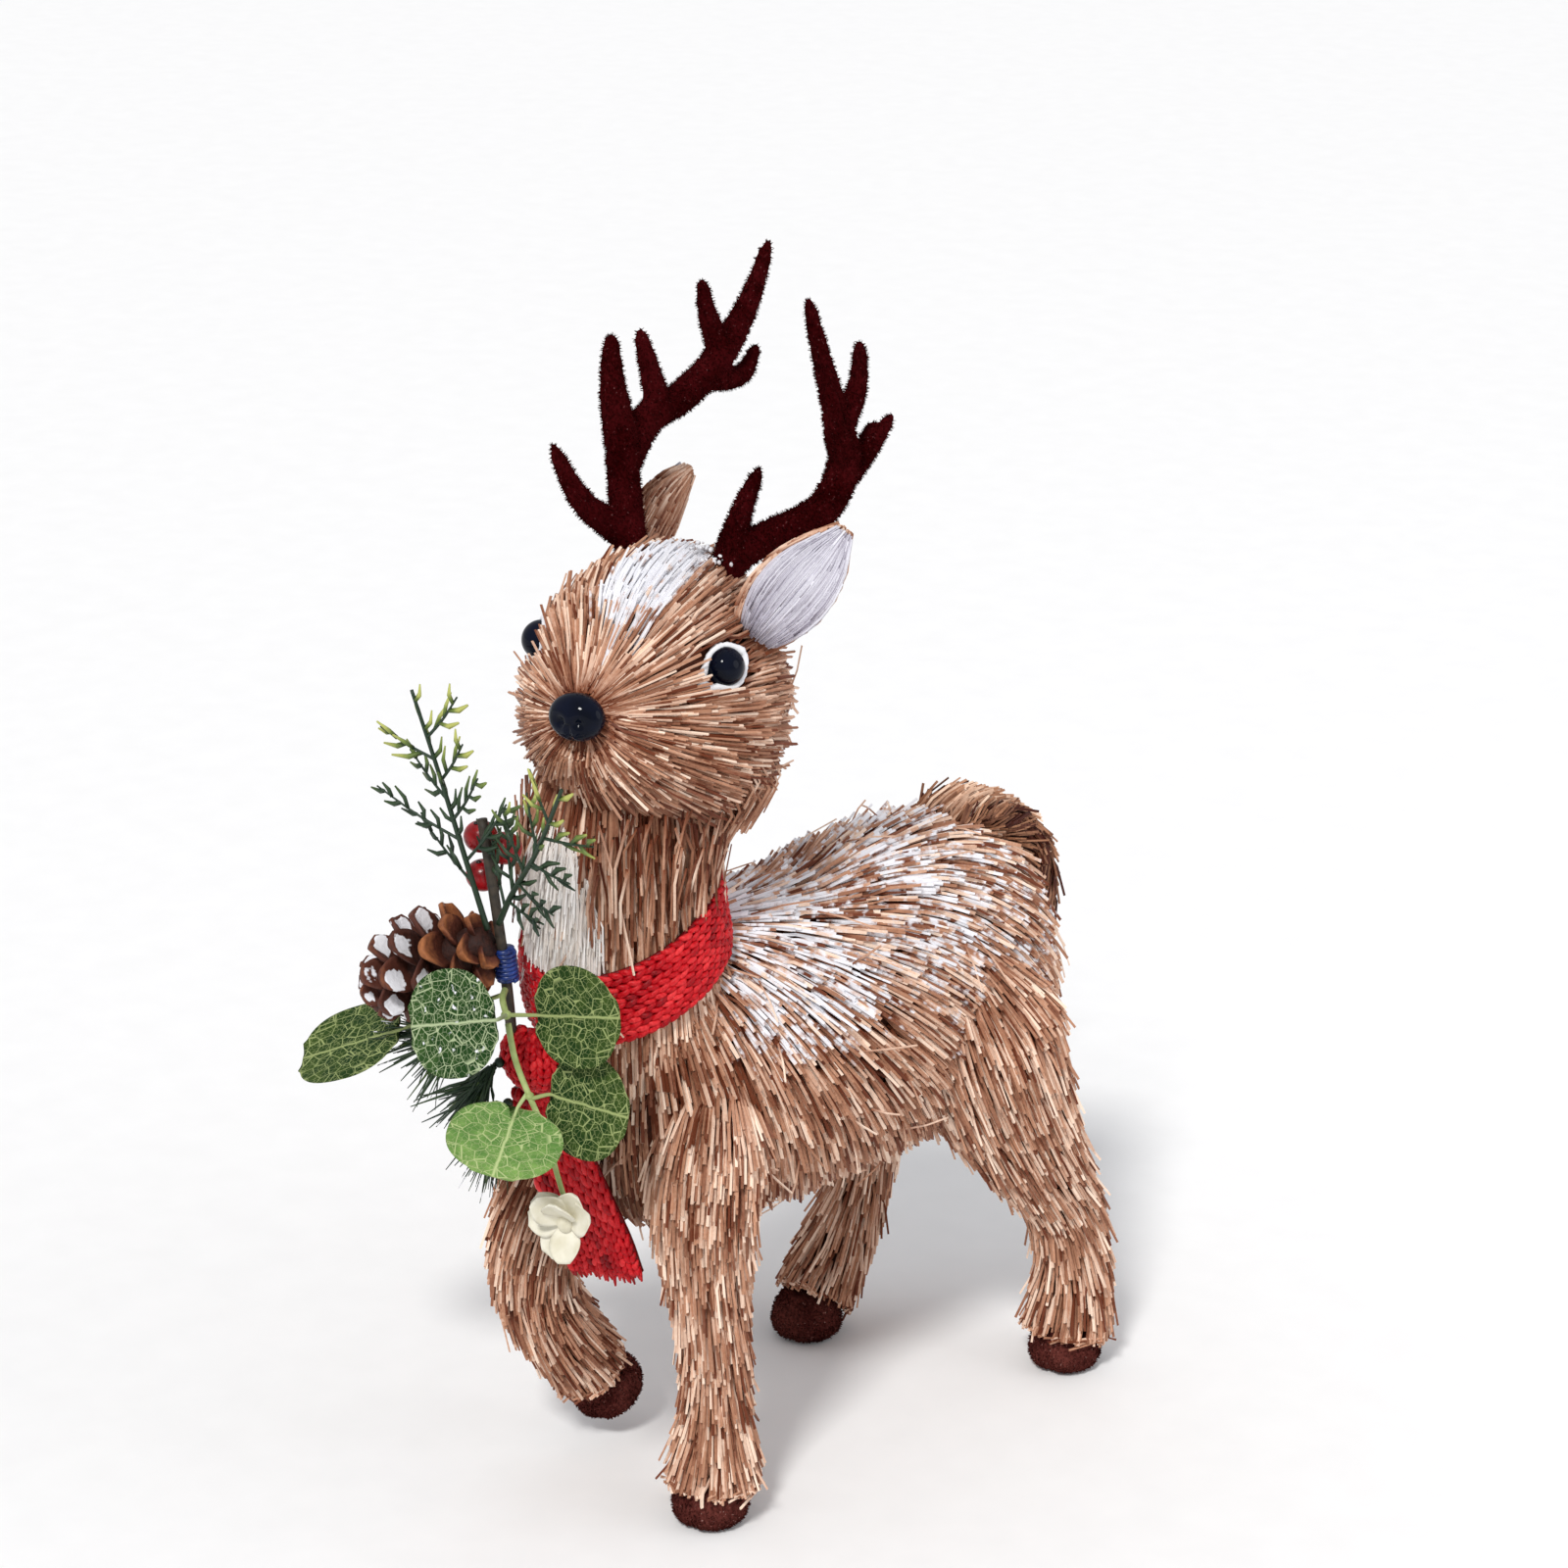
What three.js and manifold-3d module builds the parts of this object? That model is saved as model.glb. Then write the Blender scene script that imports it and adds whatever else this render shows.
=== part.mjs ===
// A straw reindeer fawn: straw over foam and wire, flocked antlers and hooves, a red woven scarf
// and a winter spray of pine cone, cypress, berries, eucalyptus and cream blossom on its chest.
//
// Millimetres, +Z up. The fawn faces -Y and its left side is +X. Lengths are measured from the
// middle of the torso on the floor, and the last lines move the origin to the middle of the outline.
import * as THREE from 'three';
import { mergeVertices } from 'three/addons/utils/BufferGeometryUtils.js';
import Module from 'manifold-3d';

const wasm = await Module();
wasm.setup();

// ---------- driving dimensions ----------
const GAP = 0.3; // clearance between pieces that touch
const SWING_GAP = 1.5; // clearance at the two hinged joints
const STRAW = 13; // depth of the straw coat over the foam
const WIRE = 1.5; // radius of a leg wire
const DOWEL = 5; // radius of the neck dowel
const HOOF_HEIGHT = 18;
const HOOF_RADIUS = 16;
const EYE_RADIUS = 8;
const POST_RADIUS = 1.8; // posts of the nose and the eyes
const SCARF_WIDTH = 29;
const SCARF_THICKNESS = 4;
const SCARF_SLOPE = 26; // degrees: the scarf lies lower on the chest than on the nape
const LEAF_THICKNESS = 0.9;
const BERRY_RADIUS = 7;
const TORSO_MIDDLE = 189; // height of the middle of the torso

// The head is turned to the fawn's left and lifted a little.
const HEAD_CENTRE = [6, -98, 361];
const HEAD_TURN = 21;
const HEAD_LIFT = 6;

const v = (x, y, z) => new THREE.Vector3(x, y, z);
const radians = THREE.MathUtils.degToRad;
const X = v(1, 0, 0);
const Y = v(0, 1, 0);
const Z = v(0, 0, 1);

// ---------- solids ----------
function toSolid(geometry) {
  geometry.deleteAttribute('normal');
  geometry.deleteAttribute('uv');
  const merged = mergeVertices(geometry, 1e-4);
  return new wasm.Manifold(new wasm.Mesh({
    numProp: 3,
    vertProperties: new Float32Array(merged.attributes.position.array),
    triVerts: new Uint32Array(merged.index.array),
  }));
}

function toGeometry(solid) {
  const data = solid.getMesh();
  const geometry = new THREE.BufferGeometry();
  geometry.setAttribute('position', new THREE.BufferAttribute(data.vertProperties, 3));
  geometry.setIndex(new THREE.BufferAttribute(data.triVerts, 1));
  geometry.computeVertexNormals();
  return geometry;
}

const join = (...solids) => solids.flat().reduce((whole, solid) => whole.add(solid));
const cut = (solid, ...tools) => tools.flat().reduce((left, tool) => left.subtract(tool), solid);

// Keeps the biggest piece where a cut has left crumbs.
function largest(solid) {
  const pieces = solid.decompose();
  return pieces.reduce((best, piece) => (piece.volume() > best.volume() ? piece : best));
}

// A closed skin over oval rings. A station is [x, y, z, half width, half depth], and across is the
// direction in which the half width is measured. pinch narrows the upper half and widens the lower
// half by that part. The ends are closed with shallow domes.
function loft(stations, { sides = 16, steps = 12, grow = 0, dome = 0.3, across = X, pinch = 0 } = {}) {
  const spine = new THREE.CatmullRomCurve3(stations.map(([x, y, z]) => v(x, y, z)));
  const sizes = new THREE.CatmullRomCurve3(
    stations.map(([, , , wide, deep = wide]) => v(wide, deep, 0)), false, 'catmullrom');
  const positions = [];
  const faces = [];
  for (let i = 0; i <= steps; i++) {
    const centre = spine.getPoint(i / steps);
    const ahead = spine.getTangent(i / steps);
    const size = sizes.getPoint(i / steps);
    const side = across.clone().addScaledVector(ahead, -across.dot(ahead)).normalize();
    const other = v().crossVectors(ahead, side);
    for (let j = 0; j < sides; j++) {
      const angle = 2 * Math.PI * j / sides;
      const point = centre.clone()
        .addScaledVector(side, (size.x * (1 - pinch * Math.sin(angle)) + grow) * Math.cos(angle))
        .addScaledVector(other, (size.y + grow) * Math.sin(angle));
      positions.push(...point.toArray());
    }
  }
  for (let i = 0; i < steps; i++) {
    for (let j = 0; j < sides; j++) {
      const a = i * sides + j;
      const b = i * sides + (j + 1) % sides;
      faces.push(a, b, b + sides, a, b + sides, a + sides);
    }
  }
  for (const end of [0, 1]) {
    const size = sizes.getPoint(end);
    const reach = dome * (Math.min(size.x, size.y) + grow) + Math.max(grow, 0);
    const apex = spine.getPoint(end).addScaledVector(spine.getTangent(end), end ? reach : -reach);
    const tip = positions.length / 3;
    positions.push(...apex.toArray());
    for (let j = 0; j < sides; j++) {
      const a = end * steps * sides + j;
      const b = end * steps * sides + (j + 1) % sides;
      faces.push(...(end ? [a, b, tip] : [b, a, tip]));
    }
  }
  const geometry = new THREE.BufferGeometry();
  geometry.setAttribute('position', new THREE.Float32BufferAttribute(positions, 3));
  geometry.setIndex(faces);
  return toSolid(geometry);
}

// A wire, stem, peg or twig of round section through the points, thinning from radius to tip.
function rod(points, radius, { tip = radius, sides = 8, steps, grow = 0, across = X } = {}) {
  const last = points.length - 1;
  const stations = points.map((p, i) => [...p, THREE.MathUtils.lerp(radius, tip, i / last)]);
  return loft(stations, { sides, steps: steps ?? 2 * points.length, grow, dome: 0, across });
}

// A leaf-shaped plate from base to tip, facing the given way. outline gives the part of the half
// width at each fraction of the length, and cup bends the two edges towards the face.
function blade({ base, tip, face, width, thick, outline, cup = 0, grow = 0, columns = 4, rows = 7 }) {
  const start = v(...base);
  const along = v(...tip).sub(start);
  const forward = along.clone().normalize();
  const normal = v(...face).addScaledVector(forward, -forward.dot(v(...face))).normalize();
  const side = v().crossVectors(forward, normal);
  const box = new THREE.BoxGeometry(2, 1, 1, columns, rows, 1);
  const corners = box.attributes.position;
  for (let i = 0; i < corners.count; i++) {
    const s = corners.getX(i);
    const t = corners.getY(i) + 0.5;
    const half = width / 2 * outline(t);
    const point = start.clone()
      .addScaledVector(along, t)
      .addScaledVector(forward, grow * (2 * t - 1))
      .addScaledVector(side, (half + grow) * s)
      .addScaledVector(normal, cup * s * s * outline(t) + corners.getZ(i) * (thick + 2 * grow));
    corners.setXYZ(i, ...point.toArray());
  }
  return toSolid(box);
}

function ball([x, y, z], [rx, ry = rx, rz = rx], { across = 10, down = 7, turn = null } = {}) {
  const geometry = new THREE.SphereGeometry(1, across, down).scale(rx, ry, rz);
  if (turn) {
    geometry.applyMatrix4(turn);
  }
  return toSolid(geometry.translate(x, y, z));
}

const roundLeaf = t => Math.max(0.14, Math.sqrt(Math.max(0, 1 - (2 * t - 1) ** 2)));
const earLeaf = t => Math.max(0.2, Math.sin(Math.PI * (0.12 + 0.86 * t)) ** 0.7);

// ---------- the scene graph ----------
const deer = new THREE.Group();
const body = new THREE.Group();
const head = new THREE.Group();
const legs = new THREE.Group();
const scarf = new THREE.Group();
const spray = new THREE.Group();
deer.add(body, head, legs, scarf, spray);

const LOOKS = {
  foam: [0xf2f0ea, 0.9, 0],
  wire: [0x8c8f94, 0.4, 1],
  dowel: [0xcaa876, 0.8, 0],
  straw: [0xbf9464, 0.75, 0],
  darkStraw: [0x8a5a33, 0.8, 0],
  whiteFibre: [0xeee4d6, 0.85, 0],
  earWhite: [0xe6e2ea, 0.85, 0],
  flock: [0x3d0f10, 0.95, 0],
  hoofFlock: [0x3a1a16, 0.95, 0],
  gloss: [0x080910, 0.12, 0],
  eyelid: [0xf4f2f4, 0.6, 0],
  scarfRed: [0xc0181f, 0.7, 0],
  cone: [0x4a2a1c, 0.85, 0],
  needle: [0x24402c, 0.7, 0],
  berry: [0x9c1018, 0.3, 0],
  leaf: [0x3f6a3a, 0.6, 0],
  paleLeaf: [0x6fa257, 0.6, 0],
  stem: [0x3b3a28, 0.8, 0],
  paleStem: [0x8fa45a, 0.6, 0],
  blossom: [0xefe8cf, 0.6, 0],
  tape: [0x1f3f8f, 0.5, 0],
};

function add(group, name, solid, look) {
  const [color, roughness, metalness] = LOOKS[look];
  const material = new THREE.MeshStandardMaterial({ color, roughness, metalness });
  const mesh = new THREE.Mesh(toGeometry(solid), material);
  mesh.name = name;
  group.add(mesh);
}

// ---------- outlines of the big straw forms ----------
const TORSO = [
  [0, -133, 190, 18, 22],
  [0, -125, 189, 38, 46],
  [0, -104, 188, 53, 64],
  [0, -62, TORSO_MIDDLE, 60, 71],
  [0, -15, TORSO_MIDDLE - 2, 62, 71],
  [0, 35, TORSO_MIDDLE + 2, 62, 74],
  [0, 78, TORSO_MIDDLE + 4, 59, 70],
  [0, 103, TORSO_MIDDLE + 6, 48, 58],
  [0, 117, TORSO_MIDDLE + 7, 32, 40],
  [0, 124, TORSO_MIDDLE + 7, 14, 18],
];
const NECK = [
  [0, -96, 196, 41, 41],
  [0, -106, 232, 40, 42],
  [0, -112, 266, 37.5, 39],
  [1, -112, 300, 37, 39],
  [4, -106, 345, 36, 36],
];

// Distances on the head run to the fawn's left, towards its nose and up.
const headTurn = new THREE.Matrix4()
  .makeRotationZ(radians(HEAD_TURN))
  .multiply(new THREE.Matrix4().makeRotationX(-radians(HEAD_LIFT)));
const headPoint = (left, front, up) =>
  v(left, -front, up).applyMatrix4(headTurn).add(v(...HEAD_CENTRE)).toArray();
const headDirection = (left, front, up) => v(left, -front, up).applyMatrix4(headTurn);

const HEAD = [
  [-50, -4, 18, 22],
  [-43, -4, 33, 40],
  [-24, -3, 50, 57],
  [0, 0, 54, 59],
  [20, 0, 51, 54],
  [38, -2, 42, 43],
  [52, -2, 30, 29],
  [62, -1, 16, 15],
];
const HEAD_PINCH = 0.12; // how much narrower the crown is than the cheeks

// The same outlines drawn smaller make the foam cores.
const torso = grow => loft(TORSO, { sides: 18, steps: 13, grow });
const neck = grow => loft(NECK, { sides: 16, steps: 6, grow });
const headForm = grow => loft(
  HEAD.map(([front, up, wide, deep]) => [...headPoint(0, front, up), wide, deep]),
  { sides: 16, steps: 11, grow, pinch: HEAD_PINCH, across: headDirection(1, 0, 0) });

const FOAM = { sides: 10, steps: 7 };
const torsoFoam = grow => loft(TORSO.slice(1, -1), { ...FOAM, dome: 0.1, grow: grow - STRAW });
const headFoam = grow => loft(
  HEAD.slice(1, -1).map(([front, up, wide, deep]) => [...headPoint(0, front, up), wide, deep]),
  { ...FOAM, dome: 0.1, grow: grow - STRAW, pinch: HEAD_PINCH, across: headDirection(1, 0, 0) });

// ---------- legs ----------
// anchor: where the wire is pushed into the foam. spine: [x, y, z, radius] down the straw.
// hoof: the middle of its sole, and the way from its sole up into the leg.
const LEGS = {
  front_left: {
    anchor: [26, -86, 196],
    spine: [
      [42, -104, 172, 25], [45, -109, 146, 23], [45, -107, 115, 18.5], [45, -104, 85, 15.5],
      [45, -103, 58, 15], [45, -103, 36, 17.5], [46, -105, 17, 20],
    ],
    hoof: [47, -108, 0],
    up: [0, 0, 1],
  },
  front_right: {
    anchor: [-26, -84, 196],
    spine: [
      [-37, -98, 170, 25], [-41, -114, 138, 23], [-42, -127, 110, 20], [-42, -129, 88, 18],
      [-42, -118, 65, 18.5], [-42, -105, 47, 18], [-42, -97, 35, 17],
    ],
    hoof: [-42, -82, 16],
    up: [0, -0.62, 0.78],
  },
  rear_left: {
    anchor: [24, 62, 196],
    spine: [
      [40, 58, 178, 38], [47, 68, 146, 33], [53, 84, 112, 24], [55, 102, 82, 18],
      [55, 110, 54, 17.5], [55, 110, 33, 19.5], [55, 107, 17, 20],
    ],
    hoof: [56, 105, 0],
    up: [0, 0, 1],
  },
  rear_right: {
    anchor: [-24, 62, 196],
    spine: [
      [-38, 68, 178, 36], [-43, 81, 142, 31], [-48, 85, 106, 20], [-49, 78, 72, 16],
      [-49, 66, 44, 17.5], [-49, 55, 28, 18.5], [-48, 47, 17, 18.5],
    ],
    hoof: [-47, 41, 0],
    up: [0, 0, 1],
  },
};

const legStraw = (leg, grow = 0) => loft(leg.spine, { sides: 12, steps: 9, dome: 0, grow });

function legWire({ anchor, spine, hoof, up }, grow = 0) {
  const end = v(...hoof).addScaledVector(v(...up), HOOF_HEIGHT / 3).toArray();
  const middle = spine.slice(1, -1).map(([x, y, z]) => [x, y, z]);
  return rod([anchor, ...middle, end], WIRE, { sides: 6, steps: 9, grow });
}

function hoofForm({ hoof, up }, grow = 0) {
  const rings = [[0, 0.62], [0.2, 0.95], [0.6, 1], [1, 0.75]];
  const stations = rings.map(([height, wide]) => [
    ...v(...hoof).addScaledVector(v(...up), height * HOOF_HEIGHT).toArray(), wide * HOOF_RADIUS,
  ]);
  return loft(stations, { sides: 12, steps: 4, dome: 0, grow });
}

const wires = Object.values(LEGS).map(leg => legWire(leg, GAP));
const torsoOutside = torso(GAP);
for (const [name, leg] of Object.entries(LEGS)) {
  const wireRoom = legWire(leg, GAP);
  const hoofRoom = hoofForm(leg, GAP);
  add(legs, `leg_wire_${name}`, legWire(leg), 'wire');
  add(legs, `leg_straw_${name}`, cut(legStraw(leg), torsoOutside, wireRoom, hoofRoom), 'straw');
  add(legs, `hoof_${name}`, cut(hoofForm(leg), wireRoom), 'hoofFlock');
}

// ---------- antlers ----------
// Each antler is one moulded branch: [points, radius at the start, radius at the tip] per limb.
const ANTLERS = {
  antler_left: [
    [[[8.5, -73, 384], [14.5, -70, 402], [23.5, -65, 416], [33.5, -49, 424]], 7.3, 7.4],
    [[[29.5, -56, 421], [37.5, -37, 429], [40.5, -28, 440], [41.5, -24, 455]], 7.8, 6.9],
    [[[16.5, -69, 405], [24.5, -67, 432], [27.5, -59, 451]], 7.3, 2.4],
    [[[41.5, -24, 450], [45.5, -34, 464], [49.5, -42, 486]], 6.8, 3],
    [[[41.5, -24, 452], [41.5, -31, 473], [42.5, -39, 494], [43.5, -48, 521]], 6.8, 2.6],
    [[[41.5, -27, 464], [41.5, -18, 480], [43.5, -19, 499]], 5.8, 2.6],
    [[[40.5, -26, 441], [41.5, -12, 451], [45.5, -2, 466]], 5.8, 2.4],
    [[[41.5, -15, 450], [39.5, -7, 462]], 4.8, 2.4],
  ],
  antler_right: [
    [[[-9.5, -87, 390], [-16.5, -88, 408], [-23.5, -86, 432], [-28.5, -83, 458]], 7.3, 7.4],
    [[[-20.5, -87, 417], [-27.5, -106, 435], [-31.5, -118, 460]], 7.3, 2.6],
    [[[-28.5, -83, 454], [-32.5, -84, 478], [-36.5, -81, 498]], 7.8, 3.2],
    [[[-26.5, -84, 446], [-35.5, -63, 459], [-38.5, -41, 464], [-41.5, -18, 474]], 7.3, 6.9],
    [[[-36.5, -55, 461], [-38.5, -58, 478], [-40.5, -62, 496]], 6.3, 2.8],
    [[[-41.5, -21, 472], [-43.5, -5, 486], [-45.5, 7, 500], [-46.5, 17, 519]], 7.3, 2.8],
    [[[-42.5, -14, 478], [-43.5, -20, 492], [-44.5, -24, 510]], 6.3, 2.6],
    [[[-40.5, -25, 469], [-42.5, -3, 466], [-44.5, 8, 477]], 6.3, 2.4],
  ],
};

const antlerForm = (limbs, grow = 0) => join(limbs.map(([points, radius, tip]) => rod(
  points, radius, { tip, sides: 6, grow, steps: 2 * points.length - 2 })));
const antlerRoot = (limbs, grow) => antlerForm(limbs.slice(0, 1), grow);

// ---------- ears ----------
// The straw back of an ear, and its white lining on the side that it faces.
const EARS = {
  left: { base: [45, -79, 388], tip: [77, -60, 436], face: [0.55, -0.75, -0.1] },
  right: { base: [-31, -78, 396], tip: [-48, -28, 428], face: [-0.95, 0.1, 0.25] },
};
const EAR_WIDTH = 31;
const EAR_BACK = 4; // thickness
const EAR_LINING = 1.4; // thickness
const EAR_RIM = 2.5; // straw left showing beside the lining
const EAR_CUP = 3; // how far the edges bend towards the face

const earBack = (ear, grow = 0) =>
  blade({ ...ear, width: EAR_WIDTH, thick: EAR_BACK, outline: earLeaf, cup: EAR_CUP, grow });

function earLining(ear) {
  const lift = v(...ear.face).normalize().multiplyScalar(EAR_BACK / 2 + EAR_LINING / 2 + 2 * GAP);
  const inset = v(...ear.tip).sub(v(...ear.base)).multiplyScalar(0.16);
  const base = v(...ear.base).add(lift).add(inset).toArray();
  const tip = v(...ear.tip).add(lift).addScaledVector(inset, -0.3).toArray();
  return blade({
    base, tip, face: ear.face, width: EAR_WIDTH - 2 * EAR_RIM,
    thick: EAR_LINING, outline: earLeaf, cup: EAR_CUP,
  });
}

// ---------- nose, eyes and eyelids ----------
const post = (from, to, grow = 0) =>
  rod([from, to], POST_RADIUS, { sides: 8, steps: 1, grow, across: Z });

const noseForm = (grow = 0) => join(
  ball(headPoint(0, 68, 2), [11.5 + grow, 7 + grow, 9.5 + grow], { turn: headTurn, across: 12 }),
  post(headPoint(0, 68, 2), headPoint(0, 34, 2), grow));

const EYE = { left: 41, front: 21.5, up: 19 };
const eyePlace = side => headPoint(side * EYE.left, EYE.front, EYE.up);
const eyeForm = (side, grow = 0) => join(
  ball(eyePlace(side), [EYE_RADIUS + grow]),
  post(eyePlace(side), headPoint(side * EYE.left * 0.45, EYE.front * 0.4, EYE.up), grow));

// An almond ring round the eye, pointed towards the nose.
function eyelidForm(side) {
  const outline = new THREE.Shape();
  outline.moveTo(16, -7);
  outline.quadraticCurveTo(10, 8, -1, 11.5);
  outline.quadraticCurveTo(-11, 10, -11, 0);
  outline.quadraticCurveTo(-9, -11, 2, -11.5);
  outline.quadraticCurveTo(9, -12, 16, -7);
  const ring = new THREE.ExtrudeGeometry(outline, { depth: 12, bevelEnabled: false, curveSegments: 5 });
  const outward = headDirection(side * 0.78, 0.55, 0.3).normalize();
  const towardsNose = headDirection(-side * 0.6, 0.78, -0.2);
  towardsNose.addScaledVector(outward, -towardsNose.dot(outward)).normalize();
  const upward = v().crossVectors(outward, towardsNose);
  const turn = new THREE.Matrix4().makeBasis(towardsNose, upward, outward);
  if (upward.z < 0) {
    ring.scale(1, -1, 1);
    flipFaces(ring);
  }
  ring.translate(0, 0, -4);
  ring.applyMatrix4(turn).translate(...eyePlace(side));
  return largest(cut(toSolid(ring), headForm(GAP), ball(eyePlace(side), [EYE_RADIUS + GAP])));
}

// Mirroring turns a mesh inside out, so each triangle's corners swap back.
function flipFaces(geometry) {
  const corners = geometry.attributes.position;
  for (let i = 0; i < corners.count; i += 3) {
    const a = v().fromBufferAttribute(corners, i);
    const b = v().fromBufferAttribute(corners, i + 1);
    corners.setXYZ(i, ...b.toArray());
    corners.setXYZ(i + 1, ...a.toArray());
  }
}

// ---------- body ----------
const dowel = (grow = 0) => rod([[0, -74, 206], [2, -90, 355]], DOWEL, { sides: 10, steps: 1, grow });

add(body, 'torso_foam', cut(torsoFoam(0), wires, dowel(GAP)), 'foam');
add(body, 'torso_straw', cut(torso(0), torsoFoam(GAP), wires, dowel(GAP)), 'straw');
add(body, 'neck_dowel', dowel(), 'dowel');

const headOutside = headForm(GAP);
add(body, 'neck_straw', cut(neck(0), torsoOutside, headOutside, dowel(GAP)), 'straw');

// The white fibre patch covers the front of the throat, under the chin.
const patchRegion = ball([0, -168, 268], [30, 34, 62], { across: 12, down: 8 });
const PATCH = 3.5;
const patch = cut(neck(PATCH).intersect(patchRegion), neck(GAP), torsoOutside, headOutside);

const TAIL = [
  [0, 68, 256, 12, 5],
  [0, 90, 258, 20, 9],
  [0, 110, 249, 22, 12],
  [0, 124, 233, 22, 12],
  [0, 130, 210, 19, 11],
  [0, 129, 190, 11, 7],
];
add(body, 'tail_straw', cut(loft(TAIL, { sides: 12, steps: 7 }), torsoOutside), 'darkStraw');

// ---------- head ----------
const sides = { left: 1, right: -1 };
const sockets = [
  dowel(GAP),
  noseForm(GAP),
  ...Object.values(sides).map(side => eyeForm(side, GAP)),
  ...Object.values(ANTLERS).map(limbs => antlerRoot(limbs, GAP)),
  ...Object.values(EARS).map(ear => earBack(ear, GAP)),
];
add(head, 'head_foam', cut(headFoam(0), sockets), 'foam');
add(head, 'head_straw', cut(headForm(0), headFoam(GAP), sockets), 'straw');
add(head, 'nose', noseForm(), 'gloss');
for (const [name, side] of Object.entries(sides)) {
  add(head, `eye_${name}`, eyeForm(side), 'gloss');
  add(head, `eyelid_${name}`, eyelidForm(side), 'eyelid');
  add(head, `ear_back_${name}`, earBack(EARS[name]), 'straw');
  const lining = cut(earLining(EARS[name]), earBack(EARS[name], GAP), headOutside);
  add(head, `ear_lining_${name}`, lining, 'earWhite');
}
for (const [name, limbs] of Object.entries(ANTLERS)) {
  const branches = join(...limbs.slice(1).map(limb => antlerForm([limb])));
  add(head, name, join(cut(branches, headOutside), antlerRoot(limbs, 0)), 'flock');
}

// ---------- scarf ----------
const SCARF_MIDDLE = [0, -110, 254];
const SCARF_CLEAR = 1; // air between the scarf and the straw
const scarfSlab = toSolid(new THREE.BoxGeometry(160, 180, SCARF_WIDTH)
  .rotateX(radians(SCARF_SLOPE))
  .translate(...SCARF_MIDDLE));
const scarfOutside = neck(SCARF_THICKNESS + SCARF_CLEAR);
const scarfRoom = neck(SCARF_THICKNESS + 2 * SCARF_CLEAR);
const scarfWrap = cut(scarfOutside.intersect(scarfSlab), neck(SCARF_CLEAR), torso(SCARF_CLEAR));
add(scarf, 'scarf_wrap', scarfWrap, 'scarfRed');
add(body, 'throat_patch', largest(cut(patch, scarfRoom.intersect(scarfSlab))), 'whiteFibre');

const KNOT = [-2, -159, 214];
const KNOT_HEIGHT = 28;
const knotForm = (grow = 0) =>
  ball(KNOT, [17 + grow, 10 + grow, KNOT_HEIGHT / 2 + grow], { across: 12, down: 8 });
const knot = cut(knotForm(), neck(SCARF_THICKNESS + SCARF_CLEAR + GAP), torso(SCARF_CLEAR));
add(scarf, 'scarf_knot', knot, 'scarfRed');

// The loose end hangs from under the knot and rests on the chest.
const KNOT_BOTTOM = KNOT[2] - KNOT_HEIGHT / 2;
const SCARF_END = [
  [-1, -158, KNOT_BOTTOM - SWING_GAP - 2, 13, 2],
  [2, -154, 180, 16, 1.8],
  [6, -146, 154, 17.5, 1.6],
  [10, -138, 130, 18, 1.6],
  [12, -134, 114, 18, 1.6],
];
const scarfEnd = loft(SCARF_END, { sides: 12, steps: 8, dome: 0, across: v(0.92, 0.22, 0.32) });
add(scarf, 'scarf_end', scarfEnd, 'scarfRed');

// ---------- spray ----------
const MAIN_STEM = [[-8, -166, 226], [-9, -167, 246], [-10, -170, 275], [-16, -172, 318]];
const mainStem = (grow = 0) => rod(MAIN_STEM, 2.3, { sides: 8, steps: 8, grow });
const clearOfNeck = neck(PATCH + 1);
const tapeForm = (grow = 0) =>
  rod([[-8.8, -166.8, 250], [-9.4, -167.8, 262]], 5, { sides: 10, steps: 1, grow });
add(spray, 'spray_stem', cut(mainStem(), knotForm(GAP), scarfRoom), 'stem');
add(spray, 'binding_tape', cut(tapeForm(), mainStem(GAP), neck(PATCH + GAP)), 'tape');
const stemRoom = join(mainStem(GAP), tapeForm(GAP));

// Pine cone: an oval core with rings of open scales that grow and close again along it. Every scale
// reaches the given way out from the axis and leans the given way towards the tip of the cone.
const CONE = {
  base: [-10, -175, 268],
  tip: [-58, -203, 238],
  rings: 4,
  perRing: 6,
  core: 12.8,
  reach: 25.5,
  lean: 5,
  scaleWidth: 18,
  scaleThickness: 3.2,
};
const coneRoom = loft(
  [[...CONE.base, 8], [-22, -182, 260.5, 23], [-46, -196, 245.5, 22], [...CONE.tip, 6]],
  { across: Z, sides: 10, steps: 6, grow: 5 });

function pineCone() {
  const start = v(...CONE.base);
  const along = v(...CONE.tip).sub(start);
  const forward = along.clone().normalize();
  const side = v().crossVectors(forward, Z).normalize();
  const other = v().crossVectors(forward, side);
  const bulge = t => Math.sin(Math.PI * (0.16 + 0.74 * t));
  const core = [0, 0.3, 0.65, 1].map(t => [
    ...start.clone().addScaledVector(along, t).toArray(), CONE.core * bulge(t),
  ]);
  const solids = [loft(core, { across: Z, sides: 10, steps: 6 })];
  for (let ring = 0; ring < CONE.rings; ring++) {
    const t = (ring + 0.4) / CONE.rings;
    for (let i = 0; i < CONE.perRing; i++) {
      const angle = 2 * Math.PI * (i + ring / 2) / CONE.perRing;
      const out = v()
        .addScaledVector(side, Math.cos(angle))
        .addScaledVector(other, Math.sin(angle));
      const root = start.clone().addScaledVector(along, t);
      const tip = root.clone()
        .addScaledVector(out, CONE.reach * bulge(t))
        .addScaledVector(forward, CONE.lean);
      const face = forward.clone().negate().addScaledVector(out, 0.4);
      solids.push(blade({
        base: root.toArray(),
        tip: tip.toArray(),
        face: face.toArray(),
        width: CONE.scaleWidth * bulge(t),
        thick: CONE.scaleThickness,
        outline: s => 0.6 + 0.4 * s,
        columns: 1,
        rows: 1,
      }));
    }
  }
  return join(solids);
}
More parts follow.
